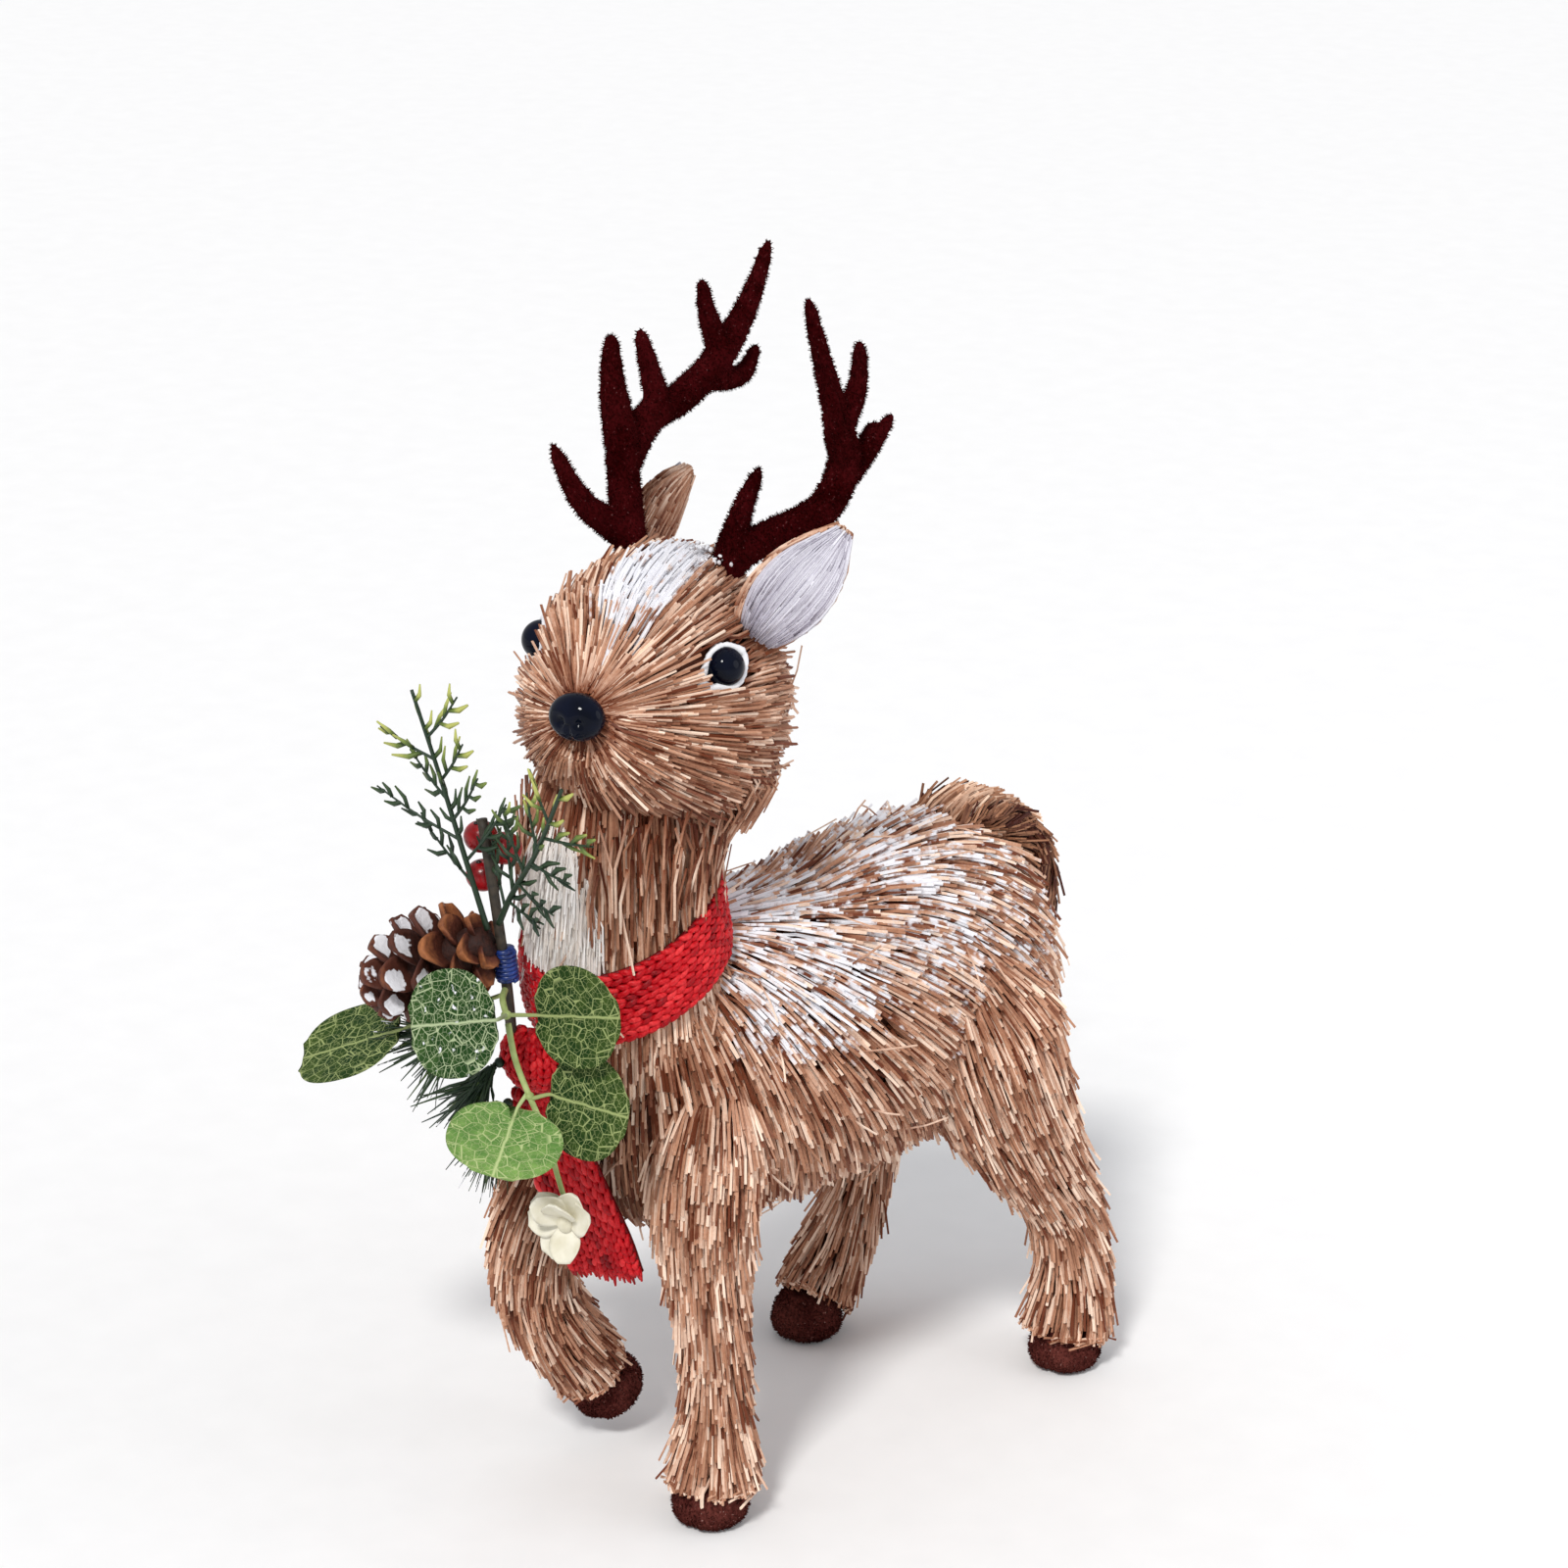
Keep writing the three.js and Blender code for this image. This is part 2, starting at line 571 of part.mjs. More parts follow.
add(spray, 'pine_cone', cut(pineCone(), stemRoom, clearOfNeck), 'cone');

// Cypress sprigs: a stem with side twigs on both sides, longer towards the foot.
const FIRST_TWIG = 0.22; // part of the stem left bare at its foot
const TWIGGED = 0.74; // part of the stem that carries the twigs
function cypress(points, { twigs, reach }) {
  const stem = new THREE.CatmullRomCurve3(points.map(p => v(...p)));
  const solids = [rod(points, 1.3, { tip: 0.8, sides: 6, steps: 8, across: Y })];
  for (let i = 0; i < twigs; i++) {
    const t = FIRST_TWIG + TWIGGED * i / twigs;
    const root = stem.getPoint(t);
    const ahead = stem.getTangent(t);
    const side = v().crossVectors(ahead, Y).normalize().multiplyScalar(i % 2 ? -1 : 1);
    const length = reach * (1 - 0.55 * t);
    const tip = root.clone()
      .addScaledVector(ahead, length * 0.62)
      .addScaledVector(side, length * 0.72);
    solids.push(rod([root.toArray(), tip.toArray()], 1.2, { tip: 0.6, sides: 3, steps: 1, across: Y }));
  }
  return join(solids);
}
const TALL_SPRIG = [[-12, -174, 272], [-21, -179, 307], [-28, -184, 338], [-36, -190, 375]];
const SHORT_SPRIG = [[-6, -173, 276], [4, -174, 292], [26, -179, 318], [47, -184, 352]];
const tallSprig = cut(cypress(TALL_SPRIG, { twigs: 12, reach: 38 }), stemRoom, coneRoom);
const shortSprig = cut(cypress(SHORT_SPRIG, { twigs: 10, reach: 30 }), stemRoom, coneRoom);
add(spray, 'cypress_tall', largest(tallSprig), 'needle');
add(spray, 'cypress_short', largest(cut(shortSprig, tallSprig, headOutside)), 'needle');

const BERRIES = [[-28, -163, 305], [-13, -163, 304], [-26, -164, 289]];
const BERRY_FOOT = [-11.5, -169.5, 284]; // where the three stalks meet the stem
const berryForm = (centre, grow = 0) => join(
  ball(centre, [BERRY_RADIUS + grow]),
  rod([centre, BERRY_FOOT], 0.7, { sides: 5, steps: 1, across: Y, grow }));
BERRIES.forEach((centre, i) => {
  const earlier = BERRIES.slice(0, i).map(place => berryForm(place, GAP));
  const tools = [stemRoom, earlier, neck(PATCH + GAP), tallSprig, shortSprig].flat();
  add(spray, `berry_${i + 1}`, largest(cut(berryForm(centre), tools)), 'berry');
});

// Needle tufts fan out from a point behind the leaves.
function tuft(root, tip, spread, count) {
  const start = v(...root);
  const main = v(...tip).sub(start);
  const side = v().crossVectors(main, Y).normalize();
  const needles = [];
  for (let i = 0; i < count; i++) {
    const turn = spread * (i / (count - 1) - 0.5);
    const length = 1 - 0.12 * (i % 3);
    const end = start.clone()
      .addScaledVector(main, length * Math.cos(turn))
      .addScaledVector(side, length * main.length() * Math.sin(turn))
      .addScaledVector(Y, 4 * (i % 2 ? 1 : -1));
    needles.push(rod([root, end.toArray()], 1.2, { tip: 0.5, sides: 3, steps: 1, across: Y }));
  }
  return join(ball(root, [2.4], { across: 6, down: 4 }), needles);
}
const TUFTS = [
  { root: [-26, -176, 226], tip: [-61, -188, 198], spread: 1 },
  { root: [-12, -172, 212], tip: [-30, -184, 178], spread: 0.9 },
  { root: [-6, -173, 196], tip: [-8, -186, 160], spread: 0.8 },
];
const NEEDLES = 7; // in each tuft
TUFTS.forEach(({ root, tip, spread }, i) => {
  const clear = [knotForm(GAP), coneRoom, stemRoom, scarfRoom];
  add(spray, `needle_tuft_${i + 1}`, largest(cut(tuft(root, tip, spread, NEEDLES), clear)), 'needle');
});

// Eucalyptus: the upper stem leaves the main stem and carries two leaves at its node.
const NODE = [8, -182, 243];
const upperStem = (grow = 0) => join(
  rod([[-9, -168, 245], [0, -177, 246], NODE], 1.3, { sides: 6, steps: 4, grow, across: Z }),
  ball(NODE, [2 + grow], { across: 8, down: 6 }));
add(spray, 'eucalyptus_stem', cut(upperStem(), stemRoom), 'paleStem');

function leaf({ foot, base, tip, face, width }, stem) {
  const plate = blade({
    base, tip, face, width, thick: LEAF_THICKNESS, outline: roundLeaf, cup: 2, rows: 8,
  });
  const stalk = rod([foot, base, v(...base).lerp(v(...tip), 0.15).toArray()], 0.8, {
    sides: 5, steps: 3, across: Z,
  });
  return largest(cut(join(plate, stalk), stem));
}
const LEAVES = {
  leaf_front: {
    foot: NODE, base: [20, -197, 249], tip: [-13, -214, 241], face: [0.2, -0.95, 0.25], width: 44,
  },
  leaf_side: {
    foot: NODE, base: [22, -178, 246], tip: [63, -170, 255], face: [0.25, -0.95, 0.15], width: 42,
  },
};
const upperRoom = join(upperStem(GAP), stemRoom);
for (const [name, shape] of Object.entries(LEAVES)) {
  add(spray, name, leaf(shape, upperRoom), 'leaf');
}
const backLeaf = {
  foot: [-9, -168, 243], base: [-52, -189, 220], tip: [-113, -193, 189], face: [0, -0.75, 0.65], width: 34,
};
const nearTuft = tuft(TUFTS[0].root, TUFTS[0].tip, TUFTS[0].spread, NEEDLES);
const leafBack = cut(leaf(backLeaf, stemRoom), coneRoom, clearOfNeck, nearTuft, upperRoom);
add(spray, 'leaf_back', largest(leafBack), 'leaf');

// The tip of the sprig hangs from the node and sways: its stem, two leaves and the blossom.
const HANGING_STEM = [
  [9, -182, NODE[2] - 2 - SWING_GAP],
  [13, -182, 225],
  [20, -181, 211],
  [29, -180, 196],
  [34, -179, 180],
  [38, -178, 168],
];
const hangingStem = (grow = 0) => rod(HANGING_STEM, 1.3, { sides: 6, steps: 10, grow });
add(spray, 'sprig_stem', hangingStem(), 'paleStem');

const HANGING_LEAVES = {
  sprig_leaf_side: {
    foot: [21, -181, 210], base: [28, -177, 213], tip: [65, -168, 212],
    face: [0.3, -0.93, 0.2], width: 44, look: 'leaf',
  },
  sprig_leaf_front: {
    foot: [19, -181, 212], base: [20, -187, 208], tip: [29, -203, 181],
    face: [-0.1, -0.72, 0.68], width: 46, look: 'paleLeaf',
  },
};
for (const [name, shape] of Object.entries(HANGING_LEAVES)) {
  add(spray, name, leaf(shape, hangingStem(GAP)), shape.look);
}

const PETALS = [[28, -181, 163], [47, -177, 169], [37, -183, 167], [38, -180, 151]];
const PETAL_SIZE = [8.5, 4, 7];
const blossom = join(
  ball([38, -179, 160], [6], { across: 7, down: 5 }),
  PETALS.map(place => ball(place, PETAL_SIZE, { across: 7, down: 5 })));
add(spray, 'blossom', largest(cut(blossom, hangingStem(GAP))), 'blossom');

// The origin moves to the middle of the outline, on the floor.
deer.updateMatrixWorld(true);
const outline = new THREE.Box3().setFromObject(deer, true);
const middle = outline.getCenter(v());
deer.position.set(-middle.x, -middle.y, -outline.min.z);

export default deer;
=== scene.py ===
import math

import bpy
import numpy as np
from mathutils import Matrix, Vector
from mathutils.bvhtree import BVHTree


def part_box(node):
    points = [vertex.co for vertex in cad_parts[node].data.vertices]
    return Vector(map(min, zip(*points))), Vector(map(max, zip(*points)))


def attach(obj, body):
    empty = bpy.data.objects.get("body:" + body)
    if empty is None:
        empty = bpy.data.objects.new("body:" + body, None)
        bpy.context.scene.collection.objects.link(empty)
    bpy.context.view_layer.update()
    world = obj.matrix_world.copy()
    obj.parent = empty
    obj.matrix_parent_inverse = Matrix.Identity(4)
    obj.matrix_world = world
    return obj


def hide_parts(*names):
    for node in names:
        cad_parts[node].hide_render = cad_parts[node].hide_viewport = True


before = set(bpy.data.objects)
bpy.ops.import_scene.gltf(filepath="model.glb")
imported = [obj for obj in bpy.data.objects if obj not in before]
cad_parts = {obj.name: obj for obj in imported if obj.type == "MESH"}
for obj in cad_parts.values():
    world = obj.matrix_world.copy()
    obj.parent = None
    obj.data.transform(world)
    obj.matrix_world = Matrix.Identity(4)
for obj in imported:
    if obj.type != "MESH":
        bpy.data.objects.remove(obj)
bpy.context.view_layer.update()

BODY, END, TIP = "deer", "scarf_end", "sprig_tip"
MM = 1000.0
HOOF_AT = (47.0, -108.0)  # the middle of the front left hoof in the drawing frame
random = np.random.default_rng(20)

low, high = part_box("hoof_front_left")
shift = np.array([MM * (low.x + high.x) / 2 - HOOF_AT[0], MM * (low.y + high.y) / 2 - HOOF_AT[1], 0.0])


def place(points):
    return (np.asarray(points, float) + shift) / MM


def linked(name, data):
    thing = bpy.data.objects.new(name, data)
    bpy.context.scene.collection.objects.link(thing)
    return thing


# ---------- small vector tools ----------
def unit(a):
    a = np.asarray(a, float)
    return a / np.maximum(np.linalg.norm(a, axis=-1, keepdims=True), 1e-9)


def dot(a, b):
    return (a * b).sum(-1, keepdims=True)


def smooth(x, start, end):
    x = np.clip((np.asarray(x, float) - start) / (end - start), 0, 1)
    return x * x * (3 - 2 * x)


def spline(points, t):
    """A point on the Catmull-Rom curve through the points, for each t from 0 to 1."""
    points = np.asarray(points, float)
    last = len(points) - 1
    p = np.vstack([2 * points[0] - points[1], points, 2 * points[-1] - points[-2]])
    x = np.clip(np.asarray(t, float), 0, 1) * last
    i = np.minimum(x.astype(int), last - 1)
    w = (x - i)[..., None]
    a, b, c, d = p[i], p[i + 1], p[i + 2], p[i + 3]
    return 0.5 * (2 * b + (c - a) * w + (2 * a - 5 * b + 4 * c - d) * w**2 + (3 * b - a - 3 * c + d) * w**3)


class Form:
    """A closed skin of oval rings on a spine: stations are x, y, z, half width, half depth."""

    def __init__(self, stations, across=(1, 0, 0), pinch=0.0):
        full = np.array([list(s) + [s[3]] * (5 - len(s)) for s in stations], float)
        self.spine, self.sizes = full[:, :3], full[:, 3:5]
        self.across, self.pinch = unit(across), pinch

    def at(self, t, angle, grow=0.0):
        t, angle = np.broadcast_arrays(np.asarray(t, float), np.asarray(angle, float))
        step = 1e-3
        centre = spline(self.spine, t)
        ahead = unit(spline(self.spine, t + step) - spline(self.spine, t - step))
        size = np.maximum(spline(self.sizes, t), 0.5)
        side = unit(self.across - ahead * dot(ahead, self.across))
        other = np.cross(ahead, side)
        cos, sin = np.cos(angle)[..., None], np.sin(angle)[..., None]
        grow = np.asarray(grow, float)
        grow = grow[..., None] if grow.ndim else grow
        wide = size[..., :1] * (1 - self.pinch * sin) + grow
        return centre + side * wide * cos + other * (size[..., 1:] + grow) * sin

    def normal(self, t, angle):
        e = 2e-3
        t = np.clip(t, 2 * e, 1 - 2 * e)
        round_it = self.at(t, angle + e) - self.at(t, angle - e)
        along = self.at(t + e, angle) - self.at(t - e, angle)
        return unit(np.cross(round_it, along))

    def grid(self, rows=40, columns=48, grow=0.0, trim=0.0):
        t = np.linspace(trim, 1 - trim, rows + 1)[:, None]
        a = 2 * np.pi * np.arange(columns)[None] / columns
        return skin(self.at(t, a, grow))

    def scatter(self, count, start=0.0, end=1.0):
        """Places spread evenly over the skin: t and angle of each."""
        t = np.linspace(start, end, 61)
        a = np.linspace(0, 2 * np.pi, 49)
        p = self.at(t[:, None], a[None])
        area = np.linalg.norm(np.cross(p[1:, :-1] - p[:-1, :-1], p[:-1, 1:] - p[:-1, :-1]), axis=-1)
        pick = random.choice(area.size, count, p=area.ravel() / area.sum())
        i, j = np.unravel_index(pick, area.shape)
        return (t[i] + random.random(count) * (t[1] - t[0]),
                a[j] + random.random(count) * (a[1] - a[0]))


def skin(rings):
    """Vertices and faces of a closed skin over rings, shaped (rows, columns, 3), with flat ends."""
    rows, columns = rings.shape[:2]
    i, j = np.meshgrid(np.arange(rows - 1), np.arange(columns), indexing="ij")
    a, b = i * columns + j, i * columns + (j + 1) % columns
    quads = np.stack([a, b, b + columns, a + columns], -1).reshape(-1, 4)
    ends = [np.arange(columns)[::-1].tolist(), (np.arange(columns) + (rows - 1) * columns).tolist()]
    return rings.reshape(-1, 3), quads.tolist() + ends


def strands(paths, up, wide, tall, sides=3):
    """Many closed strands at once. paths is (count, stations, 3); wide and tall are half sizes."""
    paths = np.asarray(paths, float)
    count, stations = paths.shape[:2]
    ahead = unit(np.gradient(paths, axis=1))
    up = np.broadcast_to(np.asarray(up, float), paths.shape)
    side = unit(np.cross(ahead, up))
    lift = np.cross(side, ahead)
    angle = np.pi / 2 + 2 * np.pi * np.arange(sides) / sides
    wide = np.broadcast_to(wide, (count, stations))[..., None, None]
    tall = np.broadcast_to(tall, (count, stations))[..., None, None]
    rings = (paths[:, :, None] + side[:, :, None] * np.cos(angle)[:, None] * wide
             + lift[:, :, None] * np.sin(angle)[:, None] * tall)
    first = (np.arange(count) * stations * sides)[:, None, None]
    i, j = np.meshgrid(np.arange(stations - 1), np.arange(sides), indexing="ij")
    a, b = first + i * sides + j, first + i * sides + (j + 1) % sides
    quads = np.stack([a, a + sides, b + sides, b], -1).reshape(-1, 4)
    first = first[:, 0]
    starts = first + np.arange(sides)
    ends = first + (stations - 1) * sides + np.arange(sides)[::-1]
    return rings.reshape(-1, 3), quads.tolist() + starts.tolist() + ends.tolist()


def per_vertex(values, stations, sides=3):
    """Spreads one value per strand, or one per strand and station, over a strand's vertices."""
    values = np.asarray(values, float)
    if values.ndim == 1:
        values = np.repeat(values[:, None], stations, 1)
    return np.repeat(values, sides, 1).ravel()


# ---------- building pieces ----------
class Soup:
    """Vertices, faces and values that end up as one piece."""

    def __init__(self):
        self.verts, self.faces, self.values, self.cells, self.count = [], [], {}, [], 0

    def add(self, part, **values):
        verts, faces = part
        verts = np.asarray(verts, float)
        for face in faces:
            self.faces.append([k + self.count for k in face])
        for name in {*values, *self.values}:
            width = np.shape(values.get(name, 0))
            filled = np.broadcast_to(np.asarray(values.get(name, 0.0), float), (len(verts),) + width[1:])
            kept = self.values.setdefault(name, [np.zeros((self.count,) + width[1:])] if self.count else [])
            kept.append(filled)
        self.verts.append(verts)
        self.count += len(verts)
        return self

    def add_strands(self, paths, up, wide, tall, sides=3, **values):
        count, stations = np.shape(paths)[:2]
        spread = {k: per_vertex(v, stations, sides) if np.ndim(v) else v for k, v in values.items()}
        along = per_vertex(np.tile(np.linspace(0, 1, stations), (count, 1)), stations, sides)
        self.cells.append((count, stations, sides))
        return self.add(strands(paths, up, wide, tall, sides), along=along, **spread)

    def piece(self, name, material, nodes=(), slot=None, body=BODY, flat_shaded=False, strips=False):
        mesh = bpy.data.meshes.new(name)
        mesh.from_pydata(place(np.vstack(self.verts)).tolist(), [], self.faces)
        for key, parts in self.values.items():
            data = np.concatenate(parts)
            kind, field = ("FLOAT", "value") if data.ndim == 1 else ("FLOAT_VECTOR", "vector")
            attribute = mesh.attributes.new(key, kind, "POINT")
            attribute.data.foreach_set(field, data.astype(np.float32).ravel())
        if strips:
            self.unwrap(mesh)
        mesh.polygons.foreach_set("use_smooth", [not flat_shaded] * len(mesh.polygons))
        mesh.materials.append(material)
        mesh.validate()
        thing = linked(name, mesh)
        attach(thing, body)
        if nodes:
            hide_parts(*([nodes] if isinstance(nodes, str) else nodes))
        return thing

    def unwrap(self, mesh):
        """Gives every strand its own cell of a square sheet, so that a baked map keeps its colour."""
        total = sum(count for count, _, _ in self.cells)
        side_cells = math.ceil(math.sqrt(total))
        uv, first = [], 0
        for count, stations, sides in self.cells:
            cell = first + np.arange(count)
            across = (0.15 + 0.7 * np.arange(sides) / sides)[None, None]
            along = np.linspace(0.1, 0.9, stations)[None, :, None]
            u = ((cell % side_cells)[:, None, None] + across) / side_cells
            w = ((cell // side_cells)[:, None, None] + along) / side_cells
            uv.append(np.stack(np.broadcast_arrays(u, w), -1).reshape(-1, 2))
            first += count
        uv = np.concatenate(uv)
        corner = np.zeros(len(mesh.loops), int)
        mesh.loops.foreach_get("vertex_index", corner)
        layer = mesh.uv_layers.new(name="OFBake")
        layer.data.foreach_set("uv", uv[corner].astype(np.float32).ravel())


def remeshed(part, voxel, smoothing=3):
    """One smooth closed skin round overlapping solids; verts and faces in millimetres."""
    mesh = bpy.data.meshes.new("rough")
    mesh.from_pydata(np.asarray(part[0]).tolist(), [], [list(f) for f in part[1]])
    thing = linked("rough", mesh)
    grid = thing.modifiers.new("grid", "REMESH")
    grid.mode, grid.voxel_size = "VOXEL", voxel
    soft = thing.modifiers.new("soft", "SMOOTH")
    soft.factor, soft.iterations = 0.5, smoothing
    done = thing.evaluated_get(bpy.context.evaluated_depsgraph_get()).to_mesh()
    verts = np.array([v.co for v in done.vertices])
    faces = [list(p.vertices) for p in done.polygons]
    normals = np.array([v.normal for v in done.vertices])
    thing.to_mesh_clear()
    bpy.data.objects.remove(thing)
    bpy.data.meshes.remove(mesh)
    return verts, faces, normals


def together(*parts):
    verts, faces, count = [], [], 0
    for v, f in parts:
        verts.append(np.asarray(v))
        faces += [[k + count for k in face] for face in f]
        count += len(v)
    return np.vstack(verts), faces


def fuzz(verts, faces, normals, count, length, width):
    """Short fibres standing on a skin: paths and half widths for strands()."""
    quads = np.array([f for f in faces if len(f) == 4])
    pick = quads[random.integers(0, len(quads), count)]
    weight = random.dirichlet(np.ones(4), count)[..., None]
    foot = (verts[pick] * weight).sum(1)
    out = unit((normals[pick] * weight).sum(1) + random.normal(0, 0.35, (count, 3)))
    tip = foot + out * length * random.uniform(0.6, 1.2, (count, 1))
    return np.stack([foot, tip], 1), np.array([width, width * 0.3])[None]


# ---------- materials ----------
class Look:
    """A procedural material: a Principled shader and the nodes that drive it."""

    def __init__(self, name, **sockets):
        self.material = bpy.data.materials.new(name)
        self.material.use_nodes = True
        self.tree = self.material.node_tree
        self.shader = self.tree.nodes["Principled BSDF"]
        for key, value in sockets.items():
            self.shader.inputs[key.replace("_", " ")].default_value = value

    def node(self, kind, inputs=None, **settings):
        made = self.tree.nodes.new(kind)
        for key, value in settings.items():
            setattr(made, key, value)
        for key, value in (inputs or {}).items():
            self.put(made.inputs[key], value)
        return made

    def put(self, socket, value):
        if isinstance(value, bpy.types.NodeSocket):
            self.tree.links.new(value, socket)
        else:
            socket.default_value = value

    def attribute(self, name, out="Fac"):
        return self.node("ShaderNodeAttribute", attribute_name=name).outputs[out]

    def maths(self, operation, a, b):
        return self.node("ShaderNodeMath", {0: a, 1: b}, operation=operation).outputs[0]

    def noise(self, scale, detail=3.0, vector=None):
        if vector is None:
            vector = self.node("ShaderNodeTexCoord").outputs["Object"]
        made = self.node("ShaderNodeTexNoise", {"Scale": scale, "Detail": detail, "Vector": vector})
        return made.outputs["Fac"]

    def ramp(self, value, *stops):
        made = self.node("ShaderNodeValToRGB", {"Fac": value})
        points = made.color_ramp.elements
        while len(points) < len(stops):
            points.new(0.5)
        for point, (at, colour) in zip(points, sorted(stops), strict=True):
            point.position = at
            point.color = (*colour, 1) if np.ndim(colour) else (colour,) * 3 + (1,)
        return made.outputs["Color"]

    def mix(self, factor, a, b, blend="MIX"):
        made = self.node("ShaderNodeMix", data_type="RGBA", blend_type=blend)
        for key, value in ((0, factor), (6, a), (7, b)):
            if key and not isinstance(value, bpy.types.NodeSocket):
                value = (*value, 1)
            self.put(made.inputs[key], value)
        return made.outputs[2]

    def range(self, value, start, end, low=0.0, high=1.0):
        return self.node("ShaderNodeMapRange", {
            "Value": value, "From Min": start, "From Max": end, "To Min": low, "To Max": high}).outputs[0]

    def sway(self, value, grain, by, start=0.3, end=0.7):
        """The value moved up and down by a grain; a word stands for that attribute of the mesh."""
        if isinstance(value, str):
            value = self.attribute(value)
        return self.maths("ADD", value, self.range(grain, start, end, -by, by))

    def bump(self, height, distance, strength=0.5):
        normal = self.node("ShaderNodeBump", {
            "Height": height, "Distance": distance / MM, "Strength": strength}).outputs[0]
        self.put(self.shader.inputs["Normal"], normal)

    def finish(self, colour, roughness=None):
        self.put(self.shader.inputs["Base Color"], colour)
        if roughness is not None:
            self.put(self.shader.inputs["Roughness"], roughness)
        return self.material


SNOW = (0.86, 0.86, 0.9)


def straw_look(name, dark, middle, light, root=(0.45, 0.24, 0.16)):
    """Straw: a tone of its own for each stalk, painted shade darkening it towards its root, and frost broken
    up by grain.
    """
    look = Look(name, Specular_IOR_Level=0.18)
    fine = look.noise(700.0)
    coarse = look.noise(55.0, 2.0)
    tone = look.sway(look.sway("tone", fine, 0.16, 0, 1), coarse, 0.1)
    colour = look.ramp(tone, (0.0, dark), (0.5, middle), (1.0, light))
    # Painted shade: each straw is multiplied by the root colour at its root, fading out by halfway along,
    # for the shade down among the straws.
    shade = look.ramp(look.attribute("along"), (0.0, root), (0.5, 1.0))
    colour = look.mix(1.0, colour, shade, "MULTIPLY")
    grain = look.noise(170.0, 4.0)
    frost = look.range(look.sway("frost", grain, 0.35), 0.4, 0.62)
    colour = look.mix(frost, colour, SNOW)
    look.bump(fine, 0.4, 0.4)
    return look.finish(colour, look.range(fine, 0.2, 0.8, 0.4, 0.62))


def speckled_look(name, dark, light, scale=300.0, bump=0.3, rough=(0.5, 0.8), **sockets):
    """A colour that wanders between two tones, with grain."""
    look = Look(name, **sockets)
    grain = look.noise(scale)
    colour = look.ramp(grain, (0.3, dark), (0.7, light))
    look.bump(grain, bump, 0.6)
    return look.finish(colour, look.range(grain, 0.3, 0.7, *rough))


def flock_look(name, dark, light, speck):
    """Velvety flock with a few pale specks of lint."""
    look = Look(name, Sheen_Weight=0.03, Sheen_Roughness=0.4, Sheen_Tint=(0.7, 0.2, 0.18, 1),
                Specular_IOR_Level=0.0)
    grain = look.noise(900.0)
    colour = look.ramp(look.sway(look.noise(60.0), grain, 0.15), (0.3, dark), (0.75, light))
    colour = look.mix(look.range(grain, 0.68, 0.72), colour, speck)
    look.bump(grain, 0.5, 0.8)
    return look.finish(colour, look.range(grain, 0.2, 0.8, 0.85, 1.0))


def leaf_look(name, dark, light, vein, frost=0.0):
    """A printed fabric leaf: cream ribs and a net of veins on green, some with snow."""
    look = Look(name, Specular_IOR_Level=0.04)
    flat = look.attribute("leaf", "Vector")
    across, along, _ = look.node("ShaderNodeSeparateXYZ", {0: flat}).outputs
    wobble = look.noise(3.5, 2.0, flat)

    def net(scale, start, end, strength):
        cells = look.node("ShaderNodeTexVoronoi", {"Vector": flat, "Scale": scale},
                          feature="DISTANCE_TO_EDGE")
        return look.range(cells.outputs[0], start, end, strength, 0.0)

    rib = look.maths("ABSOLUTE", look.sway(across, wobble, 0.04, 0, 1), 0.0)
    lines = look.maths("MAXIMUM", net(4.0, 0.018, 0.04, 0.8), net(10.0, 0.02, 0.05, 0.5))
    lines = look.maths("MAXIMUM", lines, look.range(rib, 0.012, 0.04, 0.85, 0.0))
    green = look.ramp(look.sway(wobble, along, 0.12, 0, 1), (0.3, dark), (0.7, light))
    colour = look.mix(lines, green, vein)
    snow = look.maths("ADD", look.noise(5.0, 4.0, flat), frost - 0.5)
    colour = look.mix(look.range(snow, 0.5, 0.56), colour, SNOW)
    look.bump(lines, 0.35, 0.7)
    return look.finish(colour, look.range(wobble, 0.3, 0.7, 0.42, 0.6))


def toned_look(name, specular, scale, sway, stops, bump, rough, snow=None):
    """A tone of its own for each stitch, scale or needle, shaken by grain; snow where there is frost."""
    look = Look(name, Specular_IOR_Level=specular)
    grain = look.noise(scale)
    colour = look.ramp(look.sway("tone", grain, sway, 0.2, 0.8), *stops)
    if snow:
        snow_scale, detail, start, end = snow
        frost = look.sway("frost", look.noise(snow_scale, detail), 0.3)
        colour = look.mix(look.range(frost, start, end), colour, SNOW)
    look.bump(grain, *bump)
    return look.finish(colour, look.range(grain, 0.2, 0.8, *rough))


def berry_look():
    """Red skin with a dark crown and a dark stalk, where "along" is 1."""
    look = Look("berry", Specular_IOR_Level=0.4)
    grain = look.noise(130.0)
    colour = look.ramp(grain, (0.3, (0.2, 0.002, 0.004)), (0.7, (0.5, 0.008, 0.014)))
    colour = look.mix(look.attribute("along"), colour, (0.02, 0.01, 0.008))
    look.bump(look.noise(260.0), 0.5, 0.5)
    return look.finish(colour, look.range(grain, 0.3, 0.7, 0.22, 0.38))


# For each straw look, the last colour is painted shade at the straws' roots.
STRAW = straw_look("straw", (0.16, 0.042, 0.018), (0.53, 0.275, 0.17), (0.96, 0.75, 0.6),
                   (0.38, 0.19, 0.12))
TAIL_STRAW = straw_look("tail_straw", (0.06, 0.012, 0.006), (0.42, 0.2, 0.11), (0.88, 0.64, 0.48),
                        (0.22, 0.09, 0.05))
FIBRE = straw_look("white_fibre", (0.78, 0.7, 0.63), (0.93, 0.88, 0.84), (0.98, 0.96, 0.94),
                   (0.95, 0.93, 0.91))
